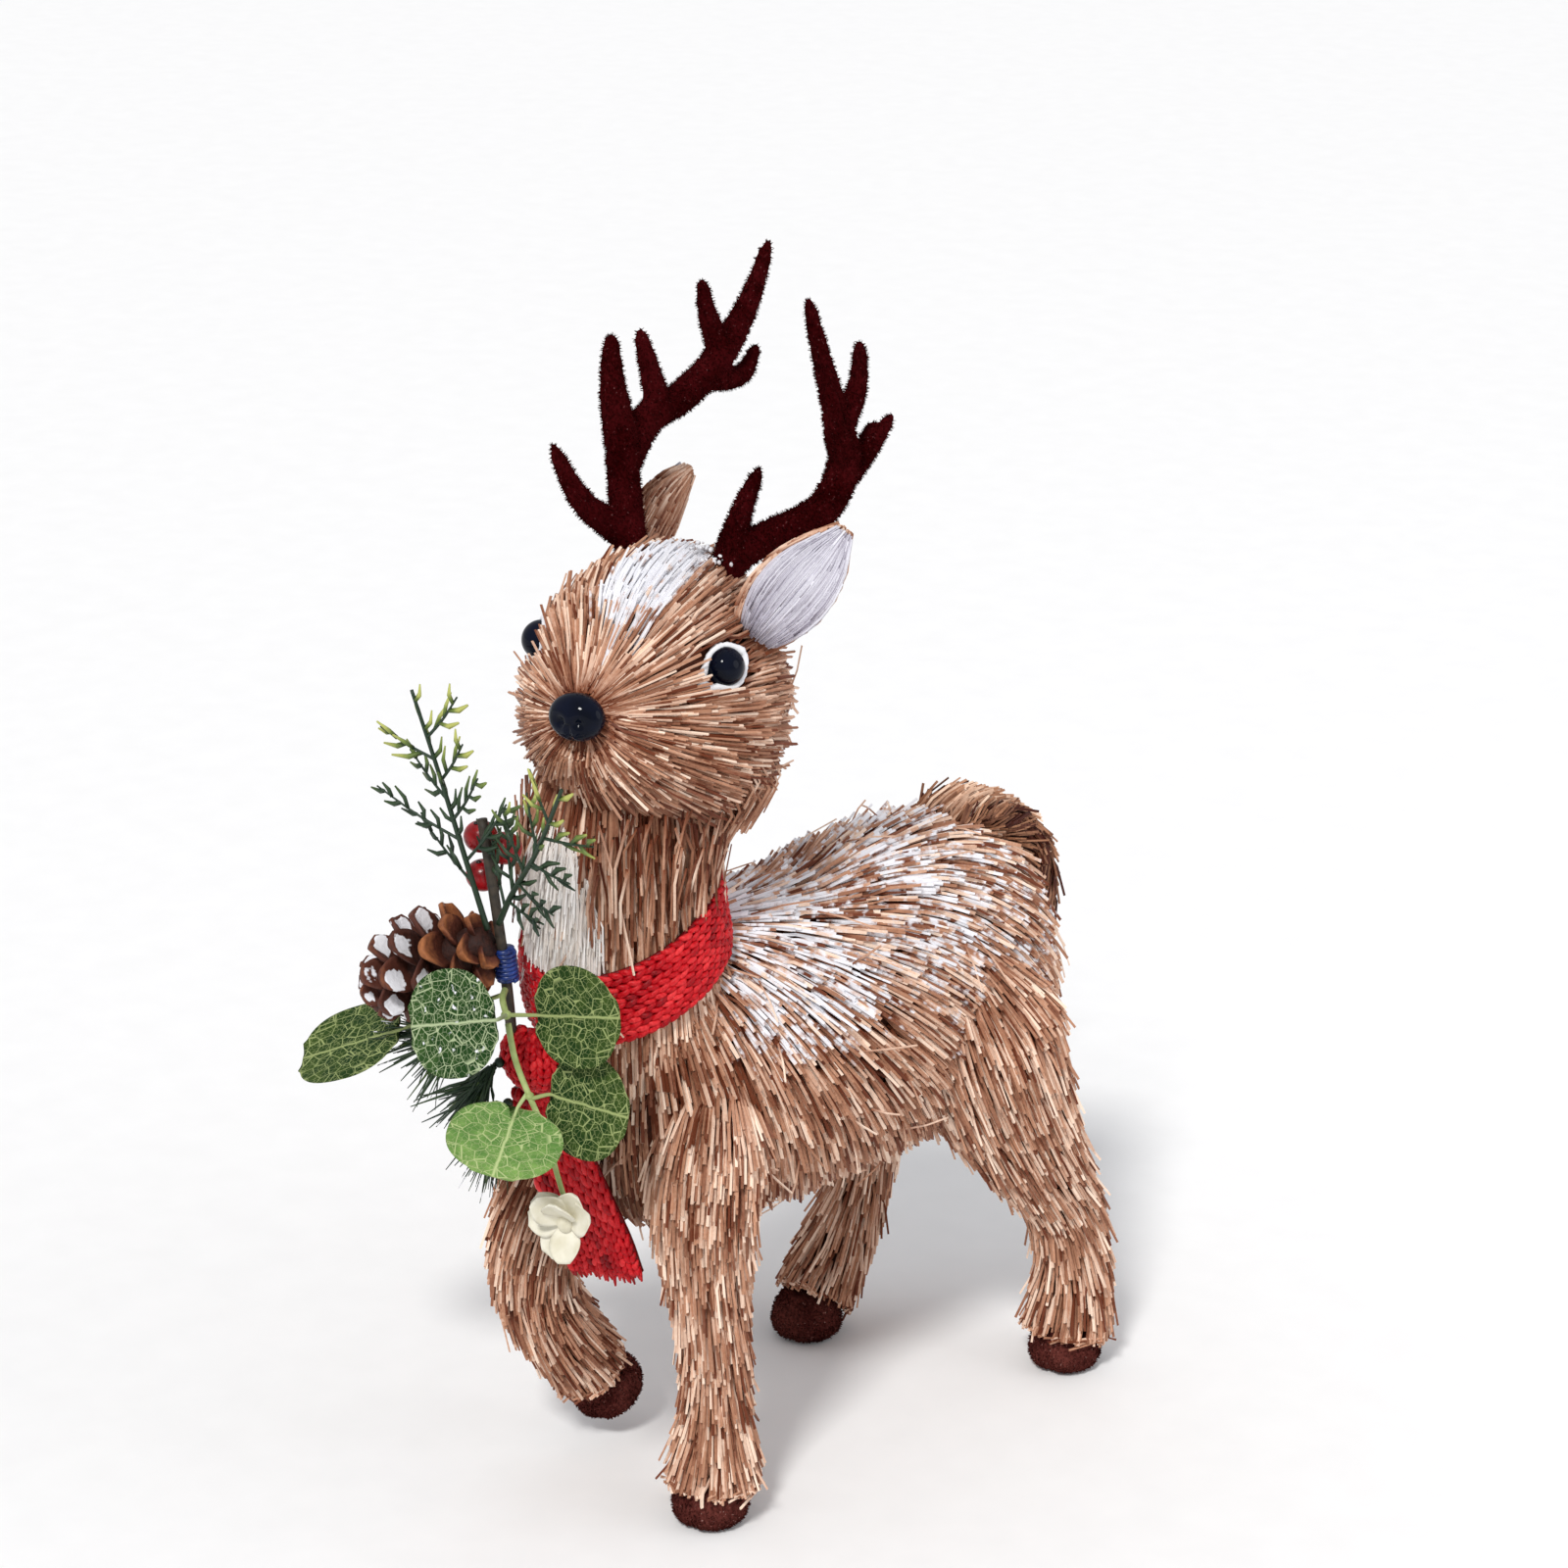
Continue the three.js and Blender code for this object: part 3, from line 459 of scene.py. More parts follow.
# Painted shade: the bed's near-black colour stands for the shade in the gaps between straws.
UNDER_SHADE = speckled_look("under_straw_shade", (0.035, 0.008, 0.004), (0.1, 0.03, 0.015), 240.0, 1.0,
                      Specular_IOR_Level=0.1)
FOAM = speckled_look("foam", (0.75, 0.73, 0.68), (0.85, 0.84, 0.8), 500.0)
WIRE = speckled_look("wire", (0.2, 0.21, 0.22), (0.36, 0.37, 0.38), 400.0, rough=(0.3, 0.5), Metallic=1.0)
WOOD = speckled_look("dowel", (0.42, 0.28, 0.15), (0.6, 0.43, 0.26), 120.0)
FLOCK = flock_look("antler_flock", (0.016, 0.0006, 0.0008), (0.055, 0.004, 0.005), (0.12, 0.05, 0.05))
HOOF = flock_look("hoof_flock", (0.04, 0.008, 0.007), (0.14, 0.038, 0.03), (0.4, 0.25, 0.22))
GLOSS = speckled_look("black_gloss", (0.001, 0.002, 0.006), (0.003, 0.005, 0.016), 90.0, 0.01, (0.05, 0.12),
                      Specular_IOR_Level=0.12)
PAINT = speckled_look("white_paint", (0.76, 0.76, 0.8), (0.88, 0.88, 0.9), 260.0, 0.4)
LILAC = straw_look("ear_white", (0.36, 0.33, 0.4), (0.62, 0.6, 0.68), (0.82, 0.81, 0.87),
                   (0.85, 0.82, 0.85))
SNOW_CRUMB = speckled_look("snow_crumbs", (0.74, 0.74, 0.78), (0.9, 0.9, 0.93), 500.0, 0.8)
STEM = speckled_look("stem_brown", (0.015, 0.012, 0.008), (0.06, 0.045, 0.03), 350.0, 0.6)
PALE_STEM = speckled_look("stem_green", (0.22, 0.3, 0.08), (0.42, 0.5, 0.2), 200.0, 0.2)
CREAM = speckled_look("blossom_cream", (0.62, 0.58, 0.44), (0.8, 0.77, 0.66), 150.0, 0.3)
TAPE = speckled_look("tape_blue", (0.006, 0.02, 0.12), (0.015, 0.05, 0.26), 200.0, 0.3, (0.25, 0.4))
FLOOR = speckled_look("floor_paper", (0.88, 0.88, 0.88), (0.9, 0.9, 0.9), 40.0, 0.05, (0.9, 0.95))
YARN = toned_look("scarf_red", 0.2, 900.0, 0.25,
                  [(0.0, (0.16, 0.0, 0.003)), (0.5, (0.5, 0.002, 0.008)), (1.0, (0.82, 0.045, 0.05))],
                  (0.4, 0.6), (0.35, 0.55))
CONE = toned_look("pine_cone", 0.3, 420.0, 0.15,
                  [(0.0, (0.012, 0.003, 0.002)), (0.5, (0.1, 0.026, 0.014)), (1.0, (0.42, 0.15, 0.05))],
                  (0.8, 0.7), (0.55, 0.8), (300.0, 2.0, 0.45, 0.6))
NEEDLE = toned_look("needles", 0.4, 500.0, 0.08,
                    [(0.0, (0.006, 0.02, 0.014)), (0.4, (0.028, 0.06, 0.02)),
                     (0.75, (0.15, 0.21, 0.04)), (1.0, (0.45, 0.47, 0.12))],
                    (0.2, 0.4), (0.4, 0.6), (500.0, 3.0, 0.5, 0.62))
BERRY = berry_look()
LEAF = leaf_look("leaf_green", (0.012, 0.036, 0.008), (0.05, 0.085, 0.018), (0.36, 0.42, 0.17))
SNOWY_LEAF = leaf_look("leaf_snow", (0.012, 0.042, 0.01), (0.038, 0.085, 0.022), (0.46, 0.54, 0.32), 0.37)
PALE_LEAF = leaf_look("leaf_pale", (0.09, 0.2, 0.045), (0.2, 0.34, 0.09), (0.48, 0.56, 0.26), 0.22)

# ---------- the forms under the straw, as in the CAD part ----------
torso = Form([
    (0, -137, 190, 5, 6), (0, -133, 190, 18, 22), (0, -125, 189, 38, 46), (0, -104, 188, 53, 64),
    (0, -62, 189, 60, 71), (0, -15, 187, 62, 71), (0, 35, 191, 62, 74), (0, 78, 193, 59, 70),
    (0, 103, 195, 48, 58),
    (0, 117, 196, 32, 40), (0, 124, 196, 14, 18), (0, 126, 196, 4, 5)])
neck = Form([
    (0, -96, 196, 41, 41), (0, -106, 232, 40, 42), (0, -112, 266, 37.5, 39), (1, -112, 300, 37, 39),
    (4, -106, 345, 36, 36)])
tail = Form([
    (0, 68, 256, 12, 5), (0, 90, 258, 20, 9), (0, 110, 249, 22, 12), (0, 124, 233, 22, 12),
    (0, 130, 210, 19, 11), (0, 129, 190, 11, 7)])

HEAD_CENTRE = np.array([6.0, -98.0, 361.0])
turn, lift = math.radians(21), math.radians(-6)
TURNED = np.array([[math.cos(turn), -math.sin(turn), 0], [math.sin(turn), math.cos(turn), 0], [0, 0, 1]])
LIFTED = np.array([[1, 0, 0], [0, math.cos(lift), -math.sin(lift)], [0, math.sin(lift), math.cos(lift)]])
HEAD_AXES = TURNED @ LIFTED


def head_direction(left, front, up):
    return HEAD_AXES @ np.array([left, -front, up], float)


def head_point(left, front, up):
    return HEAD_CENTRE + head_direction(left, front, up)


def in_head(points):
    """How far to the left, front and up of the head's centre the points are."""
    return (np.asarray(points) - HEAD_CENTRE) @ HEAD_AXES * [1, -1, 1]


head = Form([
    (*head_point(0, front, up), wide, deep) for front, up, wide, deep in (
        (-53, -4, 6, 7), (-50, -4, 18, 22), (-43, -4, 33, 40), (-24, -3, 50, 57), (0, 0, 54, 59),
        (20, 0, 51, 54), (38, -2, 42, 43), (52, -2, 30, 29), (62, -1, 16, 15), (64, -1, 7, 7))],
    head_direction(1, 0, 0), 0.12)
NOSE = head_point(0, 68, 2)


# ---------- straw coats ----------
STATIONS = 3  # points along each straw of a coat
SIDEWAYS = 0.19  # how far the straws stray from the flow
UNRULY_PART, UNRULY_LIFT = 0.07, (1.5, 4.0)


def core(name, form, inset):
    """The bed that the straws are glued to, standing for the straw beneath them; its near-black colour is
    painted shade in the gaps between straws.
    """
    return Soup().add(form.grid(grow=-inset, trim=0.07), tone=0.0).piece(name, UNDER_SHADE)


def coat_paths(form, t, angle, flow, length, root, tip):
    """Straws that lie along the flow on a form, from sunk roots to ends that stand off a little."""
    verts, faces = form.grid(70, 72)
    tree = BVHTree.FromPolygons(verts.tolist(), faces)
    point, normal = form.at(t, angle), form.normal(t, angle)
    count = len(point)
    path = np.zeros((count, STATIONS, 3))
    for k in range(STATIONS):
        part = k / (STATIONS - 1)
        path[:, k] = point + normal * (root + (tip - root) * part)[:, None]
        if k == STATIONS - 1:
            break
        way = flow(point)
        way = unit(way - normal * dot(way, normal))
        if k == 0:
            way = unit(way + np.cross(normal, way) * random.normal(0, SIDEWAYS, (count, 1)))
            up = normal.copy()
        point = point + way * (length / (STATIONS - 1))[:, None]
        for i in range(count):
            near, face_normal, _, _ = tree.find_nearest(point[i])
            point[i], normal[i] = near, face_normal
    return path, up


def coat(name, form, count, flow, nodes, length, width, *, look=STRAW, slot="straw", tone=0.0,
         frost=None, root=(-6, -4), tip=(-2.2, 1.4), start=0.0, end=1.0, keep=None, spread=0.33,
         edge=None, clear_of=(), shallow=None):
    """Straws over a form. root and tip are heights over its skin; clear_of is balls left bare."""
    t, angle = form.scatter(count, start, end)
    if keep is not None:
        kept = keep(form.at(t, angle))
        t, angle = t[kept], angle[kept]
    count = len(t)
    long = random.uniform(*length, count)
    lifted = random.uniform(*tip, count)
    if edge is not None:
        lifted = lifted + edge(form.at(t, angle)) * random.random(count)
    unruly = random.random(count) < UNRULY_PART
    lifted = lifted + unruly * random.uniform(*UNRULY_LIFT, count)
    sunk = random.uniform(*root, count) * (1 if shallow is None else shallow(form.at(t, angle)))
    path, up = coat_paths(form, t, angle, flow, long, sunk, lifted)
    clear = np.ones(count, bool)
    along = np.concatenate([path[:, :-1] * (1 - w) + path[:, 1:] * w for w in (0, 0.25, 0.5, 0.75, 1)], 1)
    for centre, radius in clear_of:
        clear &= (np.linalg.norm(along - centre, axis=-1) > radius).all(1)
    path, up, count = path[clear], up[clear], int(clear.sum())
    wide = random.uniform(*width, count)[:, None] / 2
    tones = 0.5 + random.normal(0, spread, count) + (tone(path[:, 1]) if callable(tone) else tone)
    white = np.zeros(count) if frost is None else frost(path[:, -1])
    up = np.repeat(up[:, None], STATIONS, 1)
    soup = Soup().add_strands(path, up, wide * [1, 1, 0.9], wide * [0.6, 0.75, 0.7], tone=tones,
                              frost=np.stack([white * 0.6, white, white], 1))
    return soup.piece(name, look, nodes, slot, flat_shaded=True, strips=True)


NECK_ROOT = np.array([0.0, -104.0, 268.0])


def torso_flow(p):
    """The straws fan from the foot of the neck over the flanks and fall down the rump and belly."""
    fan = unit(p - NECK_ROOT)
    fall = (0.2 + 0.95 * smooth(p[:, 1], -10, 105) + 0.35 * smooth(-p[:, 2], -200, -130))[:, None]
    return fan + fall * [0, 0.0, -1]


def back_frost(p):
    """Snow dusted over the withers and the back."""
    top = smooth(p[:, 2], 175, 225)
    withers = np.exp(-(((p[:, 1] + 45) / 42) ** 2)) * smooth(p[:, 2], 178, 215)
    along = smooth(p[:, 1], -110, -80) * (1 - 0.7 * smooth(p[:, 1], 20, 100))
    haunch = 0.28 * smooth(p[:, 1], 0, 50) * smooth(p[:, 2], 120, 180)
    return (0.36 * top * along + 0.36 * withers + haunch) * random.uniform(0.35, 1.4, len(p))


core("torso_bed", torso, 6.5)
coat("torso_coat", torso, 10500, torso_flow, "torso_straw", (18, 34), (1.4, 2.3), frost=back_frost,
     tone=lambda p: -0.12 * smooth(-p[:, 1], 50, 110), edge=lambda p: 2.5 * smooth(-p[:, 2], -175, -125))


def head_flow(p):
    return unit(p - NOSE) + 0.25 * smooth(-in_head(p)[:, 1:2], 0, 40) * [0, 0, -1]


def chin_shade(p):
    """Painted shade: darker low on the head, and most of all under the chin and the cheeks."""
    _, front, up = in_head(p).T
    return 0.02 - 0.1 * smooth(-up, -20, 20) - 0.24 * smooth(-up, 14, 42) * smooth(front, -25, 15)


def brow_frost(p):
    """A patch of snow flock between the eyes and the antlers."""
    left, front, up = in_head(p).T
    half = 18 - 7 * smooth(-front, -6, 22)
    patch = smooth(half - np.abs(left - 5.5), 0, 4) * smooth(up, 42, 45.5) * smooth(front, -30, -20)
    return 0.95 * patch * random.uniform(0.6, 1.35, len(p))


core("head_bed", head, 6.0)
EYE = np.array([41, 21.5, 19])
bare = [(head_point(side * EYE[0], EYE[1], EYE[2]), 11.0) for side in (1, -1)] + [(NOSE, 9.5)]
bare += [(head_point(side * (EYE[0] - 5), EYE[1] + 10, EYE[2] - 2), 4.5) for side in (1, -1)]


def near_nose(p):
    """The roots are shallow beside the nose, where the head is thin."""
    return 0.2 + 0.8 * smooth(np.linalg.norm(p - NOSE, axis=1), 14, 34)


# The muzzle and head coats are darkened with painted shade low on the head and under the chin.
coat("muzzle_coat", head, 1100, head_flow, (), (14, 32), (1.0, 1.6), start=0.9, root=(-1.6, -0.4),
     tip=(-0.8, 1.0), clear_of=bare, tone=chin_shade)
coat("head_coat", head, 7600, head_flow, "head_straw", (20, 40), (1.1, 1.8), frost=brow_frost,
     tone=chin_shade, root=(-5, -3.5), tip=(-2.0, 1.2), clear_of=bare, shallow=near_nose,
     edge=lambda p: 5.0 * smooth(-in_head(p)[:, 1], -14, 25))


def jaw_straws():
    """Long straws from under the cheeks that hang down and close in on the neck."""
    t, angle = head.scatter(5200, 0.05, 0.72)
    foot, out = head.at(t, angle), head.normal(t, angle)
    _, front, up = in_head(foot).T
    kept = (up < -22) & (front < 12)
    foot, out = foot[kept], out[kept]
    count = len(foot)
    way = head_flow(foot) - [0, 0, 0.9]
    way = unit(way - out * dot(way, out) + random.normal(0, 0.1, (count, 3)))
    long = random.uniform(9, 17, (count, 1))
    middle = foot + way * long + out * random.uniform(-0.5, 1.5, (count, 1))
    inward = unit((np.array([2.0, -108, 0]) - middle) * [1, 1, 0])
    fall = unit(0.3 * way + 0.55 * inward - [0, 0, 0.8])
    tip = middle + fall * long * random.uniform(0.6, 1.35, (count, 1))
    wide = random.uniform(0.5, 0.85, count)[:, None]
    path = np.stack([foot - out * 3, middle, tip], 1)
    soup = Soup().add_strands(path, out[:, None], wide * [1, 1, 0.9], wide * [0.6, 0.7, 0.6],
                              tone=0.44 + random.normal(0, 0.24, count))
    soup.piece("jaw_straws", STRAW, (), "straw", flat_shaded=True, strips=True)


jaw_straws()


def on_throat(p):
    return ((p[:, 0] / 29) ** 2 + ((p[:, 1] + 168) / 33) ** 2 + ((p[:, 2] - 268) / 60) ** 2) < 1


def down(p):
    return np.broadcast_to([0.0, 0.0, -1.0], p.shape)


def under_jaw(p):
    """The upper end of the neck, but not the throat."""
    return (p[:, 2] > 296) & (p[:, 2] < 324) & ((p[:, 1] > -128) | (np.abs(p[:, 0]) > 18))


def tail_flow(p):
    """Out along the tail, and down at its end."""
    along = np.stack([p[:, 0] / 80, 0.6 + 0 * p[:, 0], (105 - p[:, 1]) / 22], 1)
    return unit(along - [0, 0.9, 0.2] * smooth(p[:, 1], 105, 128)[:, None])


core("neck_bed", neck, 5.5)
# Painted shadow: the neck's straws darken towards the top, under the jaw.
coat("neck_coat", neck, 3600, down, "neck_straw", (24, 42), (1.3, 2.0), root=(-4.5, -3), tip=(-2, 0.6),
     keep=lambda p: ~on_throat(p), tone=lambda p: -0.28 * smooth(p[:, 2], 300, 320))
coat("jaw_fringe", neck, 1500, down, (), (22, 46), (1.1, 1.7), root=(2, 8), tip=(0.2, 3.0),
     keep=under_jaw, tone=-0.06)
coat("throat_fibre", neck, 9000, down, "throat_patch", (16, 30), (0.7, 1.1), look=FIBRE,
     slot="white_fibre", root=(-1.0, 0.5), tip=(1.2, 3.2), keep=on_throat, start=0.3)
coat("tail_coat", tail, 1500, tail_flow, "tail_straw", (16, 30), (1.2, 1.9), look=TAIL_STRAW,
     slot="tail_straw", root=(-4, -2.5), tip=(-1, 2.5), spread=0.24,
     tone=lambda p: 0.14 - 0.5 * smooth(np.abs(p[:, 0]), 9, 19))
core("tail_bed", tail, 4.0)

# For each leg: the stations below the torso, the middle of the sole and the way up from it.
LEGS = {
    "front_left": ([
        (42, -104, 172, 25), (45, -109, 146, 23), (45, -107, 115, 18.5), (45, -104, 85, 15.5),
        (45, -103, 58, 15), (45, -103, 36, 17.5), (46, -105, 17, 20)],
        (47, -108, 0), (0, 0, 1)),
    "front_right": ([
        (-37, -98, 170, 25), (-41, -114, 138, 23), (-42, -127, 110, 20), (-42, -129, 88, 18),
        (-42, -118, 65, 18.5), (-42, -105, 47, 18), (-42, -97, 35, 17)],
        (-42, -82, 16), (0, -0.62, 0.78)),
    "rear_left": ([
        (40, 58, 178, 38), (47, 68, 146, 33), (53, 84, 112, 24), (55, 102, 82, 18),
        (55, 110, 54, 17.5), (55, 110, 33, 19.5), (55, 107, 17, 20)],
        (56, 105, 0), (0, 0, 1)),
    "rear_right": ([
        (-38, 68, 178, 36), (-43, 81, 142, 31), (-48, 85, 106, 20), (-49, 78, 72, 16),
        (-49, 66, 44, 17.5), (-49, 55, 28, 18.5), (-48, 47, 17, 18.5)],
        (-47, 41, 0), (0, 0, 1)),
}
# Each leg starts thin inside the torso, so that the shoulder and the haunch swell out of it.
SHOULDERS = {"front_left": (36, -94, 202, 15), "front_right": (-31, -88, 200, 15),
             "rear_left": (30, 46, 222, 18), "rear_right": (-28, 58, 220, 18)}
HOOF_HEIGHT, HOOF_RADIUS = 18, 16


def leg_flow(form):
    """Down the leg: the direction of the nearest stretch of its spine."""
    t = np.linspace(0, 1, 60)
    line = spline(form.spine, t)
    ahead = unit(np.gradient(line, axis=0))

    def flow(p):
        near = np.argmin(((p[:, None] - line[None]) ** 2).sum(-1), 1)
        return ahead[near]
    return flow


def hoof_piece(name, sole, up):
    """A rounded, flocked hoof with a shallow cleft in front."""
    sole, up = np.array(sole, float), unit(up)
    rings = Form([(*(sole + up * height * HOOF_HEIGHT), wide * HOOF_RADIUS) for height, wide in (
        (0.03, 0.5), (0.1, 0.82), (0.3, 0.98), (0.6, 1.0), (1.0, 0.85), (1.2, 0.6))])
    t = np.linspace(0, 1, 26)
    middle = spline(rings.spine, t)[:, None]
    away = rings.at(t[:, None], 2 * np.pi * np.arange(40)[None] / 40) - middle
    toe = np.array([0.25, -1, 0])
    facing = (unit(away) * unit(toe - up * dot(up, toe))).sum(-1)
    cleft = np.exp(-(1 - facing) / 0.012) * (1 - t)[:, None]
    verts, faces = skin(middle + away * (1 - 0.16 * cleft)[..., None])
    verts[:, 2] = np.maximum(verts[:, 2], 0.3)
    path, wide = fuzz(verts, faces, unit(away).reshape(-1, 3), 2600, 1.1, 0.28)
    path[..., 2] = np.maximum(path[..., 2], 0.2)
    soup = Soup().add((verts, faces)).add_strands(path, [0.3, 0.2, 1], wide, wide)
    soup.piece(f"hoof_flock_{name}", HOOF, f"hoof_{name}", "hoof_flock")


for name, (spine, sole, up) in LEGS.items():
    leg = Form([SHOULDERS[name], *spine])
    core(f"leg_bed_{name}", leg, 5.0)
    coat(f"leg_coat_{name}", leg, 2600 if "front" in name else 3000, leg_flow(leg),
         f"leg_straw_{name}", (18, 34), (1.3, 2.0), root=(-4.5, -3), tip=(-1.6, 1.4), end=0.94,
         tone=-0.1 if name == "front_right" else 0.0,
         edge=lambda p: 2.0 * smooth(-p[:, 2], -60, -20))
    hoof_piece(name, sole, up)


# ---------- antlers ----------
# For each limb of an antler: its line, and its radius at the start and at the end.
ANTLERS = {
    "left": [
        ([(8.5, -73, 384), (14.5, -70, 402), (23.5, -65, 416), (33.5, -49, 424)], 7.3, 7.4),
        ([(29.5, -56, 421), (37.5, -37, 429), (40.5, -28, 440), (41.5, -24, 455)], 7.8, 6.9),
        ([(16.5, -69, 405), (24.5, -67, 432), (27.5, -59, 451)], 7.3, 2.4),
        ([(41.5, -24, 450), (45.5, -34, 464), (49.5, -42, 486)], 6.8, 3),
        ([(41.5, -24, 452), (41.5, -31, 473), (42.5, -39, 494), (43.5, -48, 521)], 6.8, 2.6),
        ([(41.5, -27, 464), (41.5, -18, 480), (43.5, -19, 499)], 5.8, 2.6),
        ([(40.5, -26, 441), (41.5, -12, 451), (45.5, -2, 466)], 5.8, 2.4),
        ([(41.5, -15, 450), (39.5, -7, 462)], 4.8, 2.4)],
    "right": [
        ([(-9.5, -87, 390), (-16.5, -88, 408), (-23.5, -86, 432), (-28.5, -83, 458)], 7.3, 7.4),
        ([(-20.5, -87, 417), (-27.5, -106, 435), (-31.5, -118, 460)], 7.3, 2.6),
        ([(-28.5, -83, 454), (-32.5, -84, 478), (-36.5, -81, 498)], 7.8, 3.2),
        ([(-26.5, -84, 446), (-35.5, -63, 459), (-38.5, -41, 464), (-41.5, -18, 474)], 7.3, 6.9),
        ([(-36.5, -55, 461), (-38.5, -58, 478), (-40.5, -62, 496)], 6.3, 2.8),
        ([(-41.5, -21, 472), (-43.5, -5, 486), (-45.5, 7, 500), (-46.5, 17, 519)], 7.3, 2.8),
        ([(-42.5, -14, 478), (-43.5, -20, 492), (-44.5, -24, 510)], 6.3, 2.6),
        ([(-40.5, -25, 469), (-42.5, -3, 466), (-44.5, 8, 477)], 6.3, 2.4)],
}


def antler(name, limbs):
    """Limbs grown together into one bumpy skin under a nap of short fibres."""
    parts = []
    for points, start, end in limbs:
        t = np.linspace(0, 1, 6 * len(points))
        radius = (start + (end - start) * t**1.15) * 0.93
        radius[-2:] *= [0.8, 0.45]
        parts.append(strands(spline(points, t)[None], [1, 0.2, 0.1], radius, radius, 14))
    verts, faces, normals = remeshed(together(*parts), 1.1, 4)
    wobble = np.sin(verts @ [0.9, 0.5, 0.35] + 2) * np.sin(verts @ [-0.3, 0.8, 0.6])
    verts = verts + normals * (0.25 * wobble)[:, None]
    path, wide = fuzz(verts, faces, normals, 9000, 1.25, 0.22)
    soup = Soup().add((verts, faces)).add_strands(path, [0.3, 0.2, 1], wide, wide)
    soup.piece(f"antler_flock_{name}", FLOCK, f"antler_{name}", "antler_flock")


for name, limbs in ANTLERS.items():
    antler(name, limbs)


# ---------- nose, eyes and ears ----------
def sphere(down_angle, round_angle):
    """Points of the unit sphere, by the angle down from the top and the angle round the side."""
    flat = np.sin(down_angle)
    parts = flat * np.cos(round_angle), flat * np.sin(round_angle), np.cos(down_angle)
    return np.stack(np.broadcast_arrays(*parts), -1)


def ball(centre, radii, axes=np.eye(3), rows=28, columns=40, dent=None):
    down_angle = np.linspace(0.02, np.pi - 0.02, rows)[:, None]
    rings = sphere(down_angle, 2 * np.pi * np.arange(columns)[None] / columns)
    if dent is not None:
        rings = rings * dent(rings)[..., None]
    verts, faces = skin(rings * radii @ np.asarray(axes).T + centre)
    return verts, [face[::-1] for face in faces]


def nostrils(p):
    """Two round dimples low on the front of the nose, and a groove between and below them."""
    x, y, z = p[..., 0], p[..., 1], p[..., 2]
    dents = sum(np.exp(-(((x - at) / 0.2) ** 2 + ((z + 0.12) / 0.24) ** 2)) for at in (-0.4, 0.4))
    groove = 0.4 * np.exp(-(x / 0.09) ** 2) * (z < -0.15)
    return 1 - 0.3 * (dents + groove) * (y < 0)


Soup().add(ball(NOSE, [11.8, 8, 9.8], HEAD_AXES, 60, 80, nostrils)).piece(
    "nose_gloss", GLOSS, "nose", "black_gloss")
EYE_RADIUS, RIM_RADIUS, RIM_STEPS = 8.2, 9.6, 60


def eye(name, side):
    """A gloss bead in a white rim, which is drawn out and raised at the corners of the eye."""
    centre = head_point(side * EYE[0], EYE[1], EYE[2])
    Soup().add(ball(centre, [EYE_RADIUS] * 3)).piece(
        f"eye_gloss_{name}", GLOSS, f"eye_{name}", "black_gloss")
    outward = unit(head_direction(side * 0.78, 0.55, 0.3))
    inner = head_direction(-side * 0.6, 0.78, -0.2)
    inner = unit(inner - outward * dot(outward, inner))
    upward = np.cross(outward, inner)
    upward = upward * np.sign(upward[2])
    a = np.linspace(0, 2 * np.pi, RIM_STEPS + 1)[:-1]
    corners = (-0.35, 4.2), (2 * np.pi - 0.35, 4.2), (np.pi - 0.3, 1.6)
    drawn = sum(size * np.exp(-((a - at) / 0.4) ** 2) for at, size in corners)
    spoke = inner * np.cos(a)[:, None] + upward * np.sin(a)[:, None]
    rise = 1.4 - 0.22 * drawn - 0.5 * np.cos(2 * a)
    ring = centre + outward * rise[:, None] + spoke * (RIM_RADIUS - 1.2 + drawn)[:, None]
    thick = 1.35 + 0.24 * drawn + random.normal(0, 0.14, RIM_STEPS)
    ring, thick = (np.concatenate([line, line[:1]])[None] for line in (ring, thick))
    Soup().add_strands(ring, outward, thick, thick * 0.8, 10).piece(
        f"eye_rim_{name}", PAINT, f"eyelid_{name}", "eyelid_white")


for name, side in (("left", 1), ("right", -1)):
    eye(name, side)


def blade_grid(base, tip, face, width, outline, cup, thick, columns=13, rows=17, wave=0.0, notch=0.0):
    """A leaf-shaped plate as a closed skin, and its own flat coordinates."""
    base, tip = np.array(base, float), np.array(tip, float)
    forward = unit(tip - base)
    normal = np.array(face, float)
    normal = unit(normal - forward * dot(forward, normal))
    side = np.cross(forward, normal)
    t = np.linspace(0, 1, rows)[:, None]
    s = np.concatenate([np.linspace(-1, 1, columns), np.linspace(1, -1, columns)])[None]
    above = np.concatenate([np.ones(columns), -np.ones(columns)])[None]
    half = outline(t)
    t = t + notch * np.exp(-((s / 0.3) ** 2)) * (1 - t) ** 2
    bend = cup * s**2 * half + wave * np.sin(5 * t + 2.4 * s) * np.abs(s)
    body = thick / 2 * (0.25 + 0.75 * (1 - np.abs(s) ** 6)) * above
    bend, body = np.broadcast_arrays(bend, body)
    rings = (base + (tip - base) * (t + 0 * s)[..., None] + side * (width / 2 * half * s)[..., None]
             + normal * (bend + body)[..., None])
    verts, faces = skin(rings)
    flat = np.stack(np.broadcast_arrays(s * half, 2 * t - 1, 0 * s), -1).reshape(-1, 3)
    return (verts, faces), flat


def ear_outline(t):
    return np.maximum(0.14, np.sin(np.pi * (0.12 + 0.86 * np.clip(t, 0, 1)))) ** 0.66


EARS = {"left": ((45, -79, 388), (77, -60, 436), (0.55, -0.75, -0.1)),
        "right": ((-31, -78, 396), (-48, -28, 428), (-0.95, 0.1, 0.25))}
EAR_WIDTH, EAR_CUP, LINING_LIFT = 31, 3, 2.3


